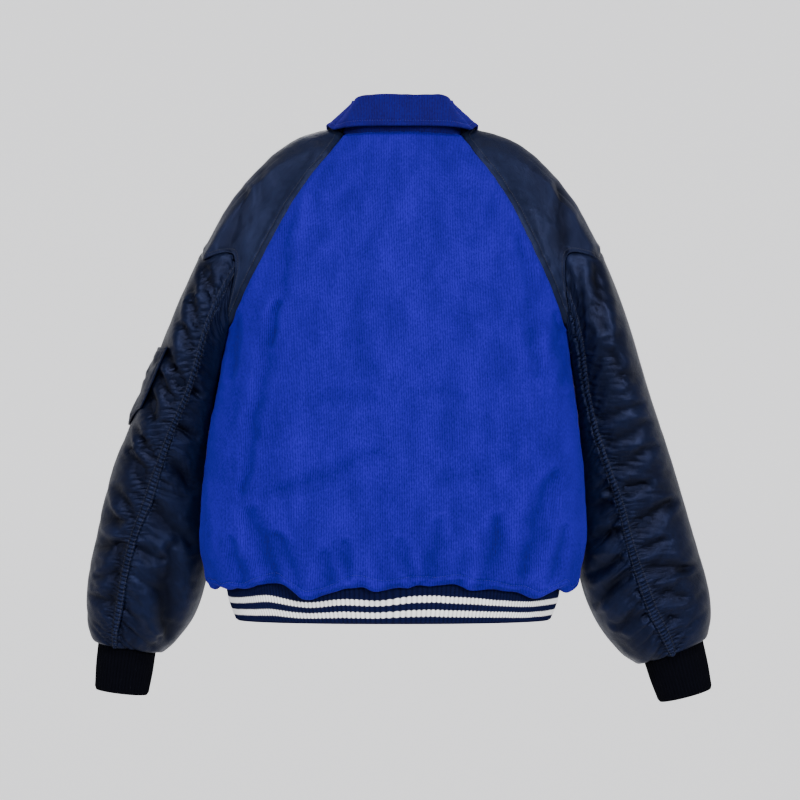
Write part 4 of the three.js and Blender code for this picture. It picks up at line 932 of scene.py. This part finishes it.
def press(distance, v):
    """How far the filled sleeve swells towards the body beside its underarm seam."""
    swell = mix(30, 14, ease((v - 0.05) / 0.3)) * ease(v / 0.06) * ease((0.85 - v) / 0.3)
    return swell * bump_at(distance, 0, 50)


def even_rows(side, count):
    """Rows down the sleeve, an equal length apart along the gathered seam; and that length."""
    v = np.linspace(0, 1, 1500)
    length = arc(lower_sleeve(side, seam_place(side, v), v)[None], 1)[0]
    return np.interp(np.linspace(0, length[-1], count + 1), length, v), length[-1]


def gathers(along, away, length, seed, slopes, count, reach, depth):
    """Creases that start at a gathered seam and fade over the cloth beside it: the sum of
    depth exp(-t^1.5) exp(-away / reach), t = (along - start + slope away) / width. slopes
    are those at the seam's top and bottom."""
    rng = np.random.default_rng(seed)
    starts = (np.arange(count) + rng.uniform(0.05, 0.95, count)) * length / count
    total = np.zeros_like(along)
    for start in starts:
        slope = mix(*slopes, start / length) * rng.uniform(0.6, 1.4)
        width = rng.uniform(1.2, 2.2) + rng.uniform(0.04, 0.11) * away
        fade = reach * rng.uniform(0.35, 1.8)
        bend = 0.003 * slope * away**2 + 1.5 * np.sin(away / 25 + start)
        t = np.abs(along - start + slope * away - bend) / width
        shape = np.exp(-(t**1.5)) * np.exp(-away / fade) * ease(away / 2 + 0.4)
        total += depth * rng.uniform(0.3, 1) * shape
    return total


PUFFS = 96


def puffs(along, length, seed):
    """The shirred seam's puffs, |cos(pi (along / pitch + shift))|^0.7, and how full each is."""
    rng = np.random.default_rng(seed)
    marks = np.linspace(0, length, PUFFS + 1)
    shift = np.interp(along, marks, rng.uniform(-0.22, 0.22, PUFFS + 1))
    uneven = np.interp(along, marks, rng.uniform(0.45, 1.25, PUFFS + 1))
    return np.abs(np.cos(math.pi * (along / (length / PUFFS) + shift))) ** 0.7, uneven


# The sleeves' copy of the nylon, darker than the shoulders' copy, which is painted lighter.
sleeve_nylon = nylon("dark sleeve nylon", "02040e", "060918", "111832")
for name, side in (("left", 1), ("right", -1)):
    rows, length = even_rows(side, 4 * PUFFS)
    share, v = grid(np.linspace(0, 1, 46), rows)
    seam = seam_place(side, v)
    s = mix(mix(0.002, 0.004, ease(v / 0.2)), seam, share) - 0.0002 * (share > 0.99)
    base = lower_sleeve(side, s, v)
    normal = normals(base, side)
    around, down = arc(base, 0), arc(base, 1)
    to_seam, to_cuff = around[-1] - around, down[:, -1:] - down
    calm = ease(to_cuff / 30)
    along = down[-1:] * np.ones_like(down)
    creases = gathers(along, to_seam, length, 40 + side, (-0.4, -0.7), 64, 28, 4) * ease(around / 12)
    facing = calm * np.clip(2 * np.abs(normal[..., 1]) - 0.3, 0, 1)
    deep = -facing * folds(SLEEVE_FOLDS, base, normal) * ease(around / 15) * ease(down / 12)
    long_folds = gathers(along, to_seam, length, 60 + side, (-1.2, -0.6), 9, 45, 4)
    deep -= facing * ease(to_seam / 8) * long_folds
    puff, uneven = puffs(along, length, 9 + side)
    shirred = 2.2 * uneven * (puff - 0.1) * np.exp(-to_seam / 5)
    offset = deep + shirred * ease(down / 6) * ease(to_cuff / 8) - creases + press(around, v)
    offset += seam_groove(down, 1.0, 2) + seam_groove(around, 0.8) + seam_groove(to_cuff, 0.8, 3)
    slack = 1.3 * crumple(base, 75, 71 + side) + 0.4 * crumple(base, 20, 81 + side)
    offset += facing * ease(around / 20) * slack
    outer, inner, offset = walled(base, offset, deep, SLEEVE_WALL, side)
    outer = kept_clear(outer, side)
    # Painted shading: darker between the shirred puffs beside the seam and in creases, paler on puffs and
    # ridges.
    painted_shading = np.clip(-offset / 6 + 1.2 * (0.7 - puff) * np.exp(-to_seam / 3), -0.5, 1)
    walls = (outer, inner, (around, down), painted_shading, side)
    under = cloth(f"sleeve_under_{name}", walls, sleeve_nylon)

# ---- Upper sleeves -------------------------------------------------------------------
# The outer part of each sleeve, of the same padded nylon, shirred along its back edge: two
# rows of stitching draw it into some 95 small puffs, from which creases fan up and outwards.
for name, side in (("left", 1), ("right", -1)):
    rows, length = even_rows(side, 8 * PUFFS)
    v_line = np.concatenate([np.linspace(0, 1, 10)[:-1], 1 + 36 * np.linspace(0, 1, 37) ** 1.25])
    index, v = grid(v_line, rows)
    seam = seam_place(side, v)
    in_band = seam + BAND_SHARE * index
    rest = mix(seam + BAND_SHARE, mix(0.998, 0.996, ease(v / 0.2)), (index - 1) / 36)
    base = lower_sleeve(side, np.where(index <= 1, in_band + 0.0002, rest), v)
    normal = normals(base, side)
    around, down = arc(base, 0), arc(base, 1)
    to_under, to_cuff = around[-1] - around, down[:, -1:] - down
    calm = ease(to_cuff / 30)
    along = down[:1] * np.ones_like(down)
    band = np.clip(index, 0, 1)
    beyond = np.maximum(around - around[9:10], 0)
    puff, uneven = puffs(along + mix(0.7, 0.15, along / length) * around, length, 9 + side)
    shirred = uneven * puff * 3 * (0.35 + np.sin(math.pi * band) ** 0.5) * (index < 1.001)
    shirred += 2.4 * uneven * (puff - 0.3) * np.exp(-beyond / 8) * (index > 1)
    stitched = 0.8 * bump_at(around, 1.8, 1.0) + 1.3 * bump_at(beyond, 0, 1.1) * (index > 0.8)
    facing = calm * np.clip(2 * np.abs(normal[..., 1]) - 0.3, 0, 1)
    creases = gathers(along, beyond, length, 90 + side, (2.2, 0.9), 64, 34, 4.8)
    creases *= (index > 1) * ease(to_under / 12)
    deep = -facing * folds(SLEEVE_FOLDS, base, normal) * ease(to_under / 15) * ease(down / 12)
    deep -= facing * gathers(along, beyond, length, 110 + side, (1.5, 0.4), 14, 50, 5)
    deep *= ease(beyond / 9)
    edges = ease(down / 6) * ease(to_cuff / 8)
    offset = deep + (shirred - stitched) * edges - creases + press(to_under, v)
    offset += (seam_groove(down, 1.0, 2) + seam_groove(to_cuff, 0.8, 3)) * ease(around / 12)
    slack = 1.2 * crumple(base, 80, 121 + side) + 0.4 * crumple(base, 20, 131 + side)
    offset += seam_groove(to_under, 0.8) + facing * ease(beyond / 20) * slack
    if side > 0:
        places = np.where(index <= 1, in_band, rest)
        beside = ease((places - 0.335) / 0.03) * ease((0.66 - places) / 0.03)
        beside = beside * ease((v - 0.22) / 0.03) * ease((0.42 - v) / 0.03)
        offset = mix(offset, np.minimum(offset, 0.2), beside)
    outer, inner, offset = walled(base, offset, deep, SLEEVE_WALL, side, 1)
    outer = kept_clear(outer, side)
    inner = inner[::5, ::4]
    out_normal = normals(outer, side)
    stitching(f"sleeve_{name}_stitches", [(outer[k], out_normal[k]) for k in (2, 9)], navy_thread)
    # Painted shading: darker between the shirred puffs beside the seam and in creases, paler on puffs and
    # ridges.
    painted_shading = np.clip(-offset / 6 + 1.2 * (0.7 - puff) * np.exp(-beyond / 4), -0.5, 1)
    walls = (outer, inner, (around, down), painted_shading, side)
    upper = cloth(f"sleeve_upper_{name}", walls, sleeve_nylon)

# ---- Sleeve pocket -------------------------------------------------------------------
# A patch pocket of the sleeve's nylon on the outer side of the left sleeve, slack over it,
# with a slanting lower edge. It is topstitched all round, which puckers its back edge.
POCKET_BACK, POCKET_FRONT = (0.345, 0.385), 0.64
POCKET_TOP, POCKET_BOTTOM, POCKET_WALL = 0.235, (0.36, 0.395), 2.2
a, b = grid(np.linspace(0, 1, 81), np.linspace(0, 1, 73))
back_edge = mix(*POCKET_BACK, b)
bottom = mix(*POCKET_BOTTOM, ease(a / 0.45))
base = lower_sleeve(1, mix(back_edge, POCKET_FRONT, a), mix(POCKET_TOP, bottom, b))
normal = normals(base)
width, height = arc(base, 0), arc(base, 1)
from_sides = np.minimum(width, width[-1] - width)
edge = np.minimum(from_sides, np.minimum(height, height[:, -1:] - height))
puff = 3.2 * np.sqrt(np.clip(np.sin(math.pi * a) * np.sin(math.pi * b), 0, 1)) * mix(0.6, 1, b)
waves = np.sin(height * 2 * math.pi / 8 + 1.5 * np.sin(height / 9))
pucker = 0.8 * waves * np.exp(-width / 12) * ease(edge / 5)
slack = (1.1 * crumple(base, 45, 151) + 0.5 * crumple(base, 16, 152)) * ease(edge / 10)
crease = 1.8 * bump_at(height - 0.5 * width, 18, 5) * ease(edge / 12)
stitched = 0.7 * bump_at(edge, 4, 1.2)
lift = np.maximum(0.5 + puff + pucker + slack - crease - stitched, 0.5)
outer = base + normal * (lift + POCKET_WALL)[..., None]
inner = (base + normal * lift[..., None])[::4, ::4]
# Painted shade in the pocket's crease and along its stitch line.
walls = (outer, inner, (width, height), np.clip((crease + stitched) / 3, 0, 1))
pocket = cloth("sleeve_pocket", walls, sleeve_nylon)
out_normal = normals(outer)
swapped = (turned_over(outer), turned_over(out_normal))
lines = [
    line_at(*swapped, turned_over(width), 4),
    line_at(outer, out_normal, height, 4),
    line_at(*backwards(*swapped, turned_over(width[-1] - width)), 4),
    line_at(*backwards(outer, out_normal, height[:, -1:] - height), 4),
]
stitching("pocket_stitches", lines, navy_thread)

# ---- Hem rib -------------------------------------------------------------------------
# The hem band is a stretched tube of rib knit, folded double, navy with two pale stripes.
# Its upper edge is gathered into the body, and its ends are caught in the zip.
HEM_RIBS, HEM_RIB_PITCH, HEM_BAND = 236, 4.7, 54


def rounding(share, end):
    """How the folded edge rounds off over the last part of the knit: a quarter circle."""
    return np.sqrt(1 - ((share - 1 + end) / end).clip(0, 1) ** 2)


zip_angle = torso_angle(FRONT_EDGE + 0.5, np.array(float(HEM_Z)))
angles = np.linspace(-zip_angle + 0.004, math.pi + zip_angle - 0.004, 8 * HEM_RIBS + 1)
angle, share = grid(angles, np.linspace(0, 1, 17))
rib = np.abs(np.sin(math.pi * np.arange(len(angles)) / 8))[:, None] ** 0.75
rounded = rounding(share, 0.06)
out = (RIB_WALL + RIB_HEIGHT * rib * (0.35 + 0.65 * rounded)) * mix(0.55, 1, rounded)
sway = hem_wave(hem_rib_point(angle, share, out)) * (1 - share)
outer = hem_rib_point(angle, share, out + 0.15 * sway * np.sin(math.pi * share))
outer[..., 2] += sway
inner = hem_rib_point(angle, share, 0 * share)
inner[..., 2] += sway
places = (np.arange(len(angles))[:, None] / 8 * HEM_RIB_PITCH, share * HEM_BAND)
walls = (outer, inner[::8, ::4], places, 0.9 * (1 - rib))


def rib_knit(name, dark, tone, stripe=None):
    """Rib knit: loops down each rib, drawn at 1.8 mm where real ones are 1 mm, a fuzz of
    yarn ends over them, and furrows between the ribs in shade; and two pale stripes, about
    7.5 mm high, where a colour is given. Their edges step from rib to rib."""
    made, tree, shader = material(name)
    place = add(tree, "UVMap", uv_map="cloth")
    per_metre = (0, 2 * math.pi / (1.8 * MM), 0)
    turn = add(tree, "VectorMath", {0: place, 1: per_metre}, operation="DOT_PRODUCT")
    loops = add(tree, "Math", {0: turn}, operation="SINE")
    fuzz = add(tree, "TexNoise", {"Vector": place, "Scale": 700.0, "Detail": 3.0})
    patches = add(tree, "TexNoise", {"Vector": place, "Scale": 30.0, "Detail": 2.0})
    colour = add(tree, "Mix", {"Factor": fuzz, "A": linear(dark), "B": linear(tone)}, data_type="RGBA")
    furrow = add(tree, "Attribute", attribute_name="painted_shading").outputs["Fac"]
    if stripe:
        wander = add(tree, "MapRange", {"Value": patches, "To Min": -0.8 * MM, "To Max": 0.8 * MM})
        up = add(tree, "SeparateXYZ", {"Vector": place}).outputs["Y"]
        level = add(tree, "Math", {0: up, 1: wander}, operation="ADD")
        for middle in (25.8, 40.2):
            off = add(tree, "Math", {0: level, 1: middle * MM}, operation="SUBTRACT")
            away = add(tree, "Math", {0: off}, operation="ABSOLUTE")
            away = add(tree, "Math", {0: furrow, 1: 1.4 * MM, 2: away}, operation="MULTIPLY_ADD")
            fade = {"From Min": 3.3 * MM, "From Max": 4.1 * MM, "To Min": 1.0, "To Max": 0.0}
            pale = add(tree, "MapRange", {"Value": away, **fade})
            blend = {"Factor": pale, "A": colour, "B": linear(stripe)}
            colour = add(tree, "Mix", blend, data_type="RGBA")
    shade = add(tree, "MapRange", {"Value": furrow, "To Min": 1.05, "To Max": 0.55})
    shaded = add(tree, "VectorMath", {0: colour, "Scale": shade}, operation="SCALE")
    height = add(tree, "Math", {0: loops, 1: fuzz}, operation="ADD")
    bump = add(tree, "Bump", {"Height": height, "Strength": 0.4, "Distance": 0.3 * MM})
    finish = {"Base Color": shaded, "Normal": bump, "Roughness": 0.95, "Specular IOR Level": 0.06}
    wire(tree, shader, finish)
    return made


striped_knit = rib_knit("striped rib knit", "080a26", "0f133c", "fdfdff")
hem_rib = cloth("hem_rib", walls, striped_knit)

# ---- Cuffs ---------------------------------------------------------------------------
# Each cuff is a plain tube of rib knit, folded double, with the sleeve's end gathered onto
# it: the wrist's cloth blouses over its top.
CUFF_RIBS, CUFF_LENGTH, CUFF_HEIGHT, CUFF_RADIUS = 50, 66, 1.0, 35
CUFFS = {1: (7, 36, 32), -1: (15, 37, 33)}
cuff_knit = rib_knit("black rib knit", "020208", "04050d")
for name, side in (("left", 1), ("right", -1)):
    arm = ARMS[side]
    swing, half, depth = CUFFS[side]
    swing, turn = math.radians(swing), math.radians(arm["tilt"][-1])
    tuck = 2.7 + CUFF_HEIGHT + RIB_WALL
    ring = np.arange(8 * CUFF_RIBS) * 2 * math.pi / (8 * CUFF_RIBS)
    angle, share = grid(ring, np.linspace(0, 1, 17))
    rib = np.abs(np.sin(CUFF_RIBS * angle / 2)) ** 0.75
    rounded = rounding(share, 0.05)

    def cuff_point(out):
        """The cuff's inside from its top to its bottom, moved outwards by out."""
        wide = mix(arm["half"][-1] - tuck, half - RIB_WALL, share) + out
        deep = mix(arm["depth"][-1] - tuck, depth - RIB_WALL, share) + out
        tilt = mix(turn, swing, share)
        x = arm["x"][-1] - 3 * math.sin(turn) + share * CUFF_LENGTH * math.sin(swing)
        z = arm["z"][-1] + 3 * math.cos(turn) - share * CUFF_LENGTH * math.cos(swing)
        y = arm["y"][-1] + share * CUFF_LENGTH * 0.02 + deep * np.sin(angle)
        out = wide * np.cos(angle)
        return np.stack([x + out * np.cos(tilt), y, z + out * np.sin(tilt)], -1) * [side, 1, 1]

    crease = 0.8 * np.sin(2 * angle + 1) * np.sin(math.pi * share) ** 2
    thick = (RIB_WALL + CUFF_HEIGHT * rib * (0.3 + 0.7 * rounded)) * mix(0.6, 1, rounded)
    outer = cuff_point(thick + crease)
    inner = cuff_point(0 * share)[::8, ::4]
    places = (angle * CUFF_RADIUS, share * CUFF_LENGTH)
    walls = (outer, inner, places, 0.9 * (1 - rib), -side, True)
    cuff = cloth(f"cuff_{name}", walls, cuff_knit)

# ---- Collar --------------------------------------------------------------------------
# A turned-over collar of the body's corduroy, two layers with interlining between them. It
# is sewn to the neck's edge and topstitched near its outer edge.
COLLAR_WALL = 2.6
NECK_BACK, NECK_SIDE = 0.34, 0.6
# The collar's fold and outer edge from the centre back to its point, outwards and up in mm.
COLLAR = {
    "at": [0, 0.22, 0.34, 0.48, 0.62, 0.8, 1],
    "fold_out": [-5, -9, -20, -26, -19, -10, -5],
    "fold_up": [48, 47, 41, 35, 35, 31, 26],
    "edge_out": [17, 17, 17, 15, 20, 23, 24],
    "edge_up": [6, 6, 4, 3, -1, -16, -42],
    "edge_side": [0, 0, 0, 0, 2, 16, 44],
}


def neck_seam(at):
    """The neck's seam on the wearer's left: 0 at the centre back to 1 at the front edge."""
    angle = mix(math.pi / 2, math.radians(25), np.minimum(at / NECK_BACK, 1))
    back = torso(angle, np.full_like(at, -5))
    side = armhole(mix(NECK_FROM, NECK_TO, np.clip((at - NECK_BACK) / (NECK_SIDE - NECK_BACK), 0, 1)))
    u = 1 - np.clip((at - NECK_SIDE) / (1 - NECK_SIDE), 0, 1)
    z = mix(NECK_FRONT_Z, -28, u * u)
    front = torso(-mix(torso_angle(FRONT_EDGE, z), math.radians(54.7), u), z)
    return np.where((at < NECK_BACK)[..., None], back, np.where((at < NECK_SIDE)[..., None], side, front))


def collar_place(u, v):
    """Middle of the collar's cloth: u round the neck from -1 to 1, v from the seam (0) up
    the stand, over the fold and down to the edge (1)."""
    at = np.abs(u)
    fold_out, fold_up, edge_out, edge_up, edge_side = columns(COLLAR, at)
    fall_out, fall_up, none = fold_out + 8, fold_up - 5, 0 * u
    outs = [none - 5, 0.75 * fold_out - 1.5, fold_out, fold_out + 4.5]
    outs += [fall_out, mix(fall_out, edge_out, 0.5), edge_out]
    ups = [none - 7, 0.5 * fold_up, fold_up - 5, fold_up]
    ups += [fall_up, mix(fall_up, edge_up, 0.5), edge_up]
    sides = [none, none, none, none, 0.1 * edge_side, 0.5 * edge_side, edge_side]
    place = v * 6
    row = np.clip(np.floor(place).astype(int), 0, 5)
    t = place - row

    def along(values):
        """Catmull-Rom curve through seven values, at t between one row and the next."""
        rows = np.clip(np.stack([row - 1, row, row + 1, row + 2]), 0, 6)
        a, b, c, d = np.take_along_axis(np.stack(values), rows, 0)
        return b + 0.5 * t * (c - a + t * (2 * a - 5 * b + 4 * c - d + t * (3 * b - a - 3 * c + d)))

    seam = neck_seam(at)
    outward = unit(np.stack([seam[..., 0], seam[..., 1] + 6, none], -1))
    points = seam + outward * along(outs)[..., None]
    points[..., 0] += along(sides)
    points[..., 2] += along(ups)
    return points * np.stack([np.where(u < 0, -1, 1), none + 1, none + 1], -1)


u, v = grid(np.linspace(-0.996, 0.996, 289), np.linspace(0.002, 0.998, 73))
base = collar_place(u, v)
normal = normals(base)
round_neck, up = arc(base, 0), arc(base, 1)
to_edge, to_end = up[:, -1:] - up, np.minimum(round_neck, round_neck[-1] - round_neck)
inset = np.minimum(to_edge, to_end + 30 * (v < 0.6))
slack = 0.7 * crumple(base, 60, 161) * ease(inset / 12) * (v > 0.3) + 0.2 * crumple(base, 18, 162)
topstitch = (0.7 * bump_at(inset, 7, 1.4) - 0.4 * bump_at(inset, 3, 2.5)) * (v > 0.55)
outer = base + normal * (COLLAR_WALL / 2 + np.maximum(slack, -0.6) - topstitch)[..., None]
inner = (base - normal * COLLAR_WALL / 2)[::3, ::2]
places = (round_neck - round_neck[len(round_neck) // 2], up)
# The collar's copy of the body's corduroy is painted darker.
corduroy_painted_darker = corduroy("blue corduroy painted darker on the collar", "0a0030", "130162", "20147a")
# Painted shade in the groove of the topstitching.
walls = (outer, inner, places, np.clip(topstitch, 0, 1))
collar = cloth("collar", walls, corduroy_painted_darker)
out_normal = normals(outer)
turned, turned_normal, far = (turned_over(each)[44:] for each in (outer, out_normal, round_neck))
collar_lines = [
    line_at(*backwards(outer, out_normal, to_edge), 7),
    line_at(turned, turned_normal, far, 7),
    line_at(*backwards(turned, turned_normal, far[:, -1:] - far), 7),
]
stitching("collar_stitches", collar_lines, blue_thread)

# ---- Zip -----------------------------------------------------------------------------
# A closed zip joins the fronts: a woven tape sewn behind their edges, with cast teeth that
# mesh down its middle. Its tape runs on behind the hem's ends.
ZIP_HALF, ZIP_WALL, ZIP_BEHIND, ZIP_TOP, ZIP_BOTTOM = 13, 1.4, 1.1, -81, -655
TEETH_PITCH, SLIDER_Z = 1.5, -90


def zip_face(z):
    """Line of the closed zip's face: behind the fronts, then behind the hem's rib."""
    quarter = np.full_like(z, -math.pi / 2)
    body = torso(quarter, z)[..., 1] + BODY_WALL + ZIP_BEHIND
    rib = hem_rib_point(quarter, np.full_like(z, 0.5), 0)[..., 1] + ZIP_BEHIND
    return mix(body, rib, ease((-555 - z) / 35))


across, z = grid(np.linspace(-1, 1, 17), np.linspace(ZIP_BOTTOM, ZIP_TOP, 301))
weave = 0.08 * np.cos(across * 40)
outer = np.stack([across * ZIP_HALF, zip_face(z) - weave, z], -1)
inner = np.stack([across * ZIP_HALF, zip_face(z) + ZIP_WALL, z], -1)[::4, ::5]
# Woven polyester tape: brick-like yarns of 0.8 x 0.4 mm in three darks, and pale lint.
tape_knit, tree, shader = material("woven zip tape")
place = add(tree, "UVMap", uv_map="cloth")
yarns = {"Color1": linear("0a0c15"), "Color2": linear("141829"), "Mortar": linear("05060a")}
threads = add(tree, "TexBrick", {"Vector": place, **yarns, "Scale": 600.0, "Mortar Size": 0.06})
lint = add(tree, "TexNoise", {"Vector": place, "Scale": 500.0})
dusty = add(tree, "Math", {0: lint, 1: 0.2}, operation="MULTIPLY")
tone = add(tree, "Mix", {"Factor": dusty, "A": threads, "B": linear("2a3046")}, data_type="RGBA")
bump = add(tree, "Bump", {"Height": threads.outputs["Fac"], "Strength": 0.3, "Distance": 0.2 * MM})
wire(tree, shader, {"Base Color": tone, "Normal": bump, "Roughness": 0.9})
walls = (outer, inner, (across * ZIP_HALF, z), 0)
tape = cloth("zip_tape", walls, tape_knit)


def nickel(name, tone, bright):
    """Satin nickel plate: brushing, 0.25 x 2.5 mm, breaks up its gloss, and rubbed patches
    of 4 mm are paler."""
    made, tree, shader = material(name)
    place = add(tree, "TexCoord").outputs["Object"]
    stretched = add(tree, "Mapping", {"Vector": place, "Scale": (4000, 4000, 400)})
    brushed = add(tree, "TexNoise", {"Vector": stretched, "Scale": 1.0, "Detail": 2.0})
    patches = add(tree, "TexNoise", {"Vector": place, "Scale": 260.0, "Detail": 3.0})
    blend = {"Factor": patches, "A": linear(tone), "B": linear(bright)}
    colour = add(tree, "Mix", blend, data_type="RGBA")
    gloss = add(tree, "MapRange", {"Value": brushed, "To Min": 0.24, "To Max": 0.4})
    wire(tree, shader, {"Base Color": colour, "Roughness": gloss, "Metallic": 1.0})
    return made


nickel_cast = nickel("satin nickel", "8d8f94", "b6b8bc")
count = int((SLIDER_Z - 8 - ZIP_BOTTOM - 4) / TEETH_PITCH)
tooth_z = SLIDER_Z - 8 - TEETH_PITCH * np.arange(count)
tooth_x = np.where(np.arange(count) % 2 == 0, 1.1, -1.1)
corner = np.array([[x, y, z] for x in (-1, 1) for y in (-1, 1) for z in (-1, 1)])
shape = corner * [2.1, 0.8, 0.55] * np.where(corner[:, 1:2] < 0, [0.8, 1, 0.8], [1, 1, 1])
centre = np.stack([tooth_x, zip_face(tooth_z) - 0.9, tooth_z], -1)
points = lean((centre[:, None] + shape).reshape(-1, 3)) * MM
sides = np.array([[0, 1, 3, 2], [4, 6, 7, 5], [0, 4, 5, 1], [2, 3, 7, 6], [0, 2, 6, 4], [1, 5, 7, 3]])
faces = (8 * np.arange(count)[:, None, None] + sides).reshape(-1, 4)
teeth_mesh = bpy.data.meshes.new("zip_teeth")
teeth_mesh.from_pydata(points.tolist(), [], faces.tolist())
teeth = link_mesh("zip_teeth", teeth_mesh, nickel_cast)
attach(teeth, "jacket")

# ---- Slider and pull -----------------------------------------------------------------
# The zip's slider is cast and nickel plated, held at the neck, and its pull tab hangs by a
# bar in the slider's bridge.
for name, body in (("zip_slider", "jacket"), ("zip_pull", "pull")):
    part = bpy.data.objects[name]
    part.data.materials.clear()
    part.data.materials.append(nickel_cast)
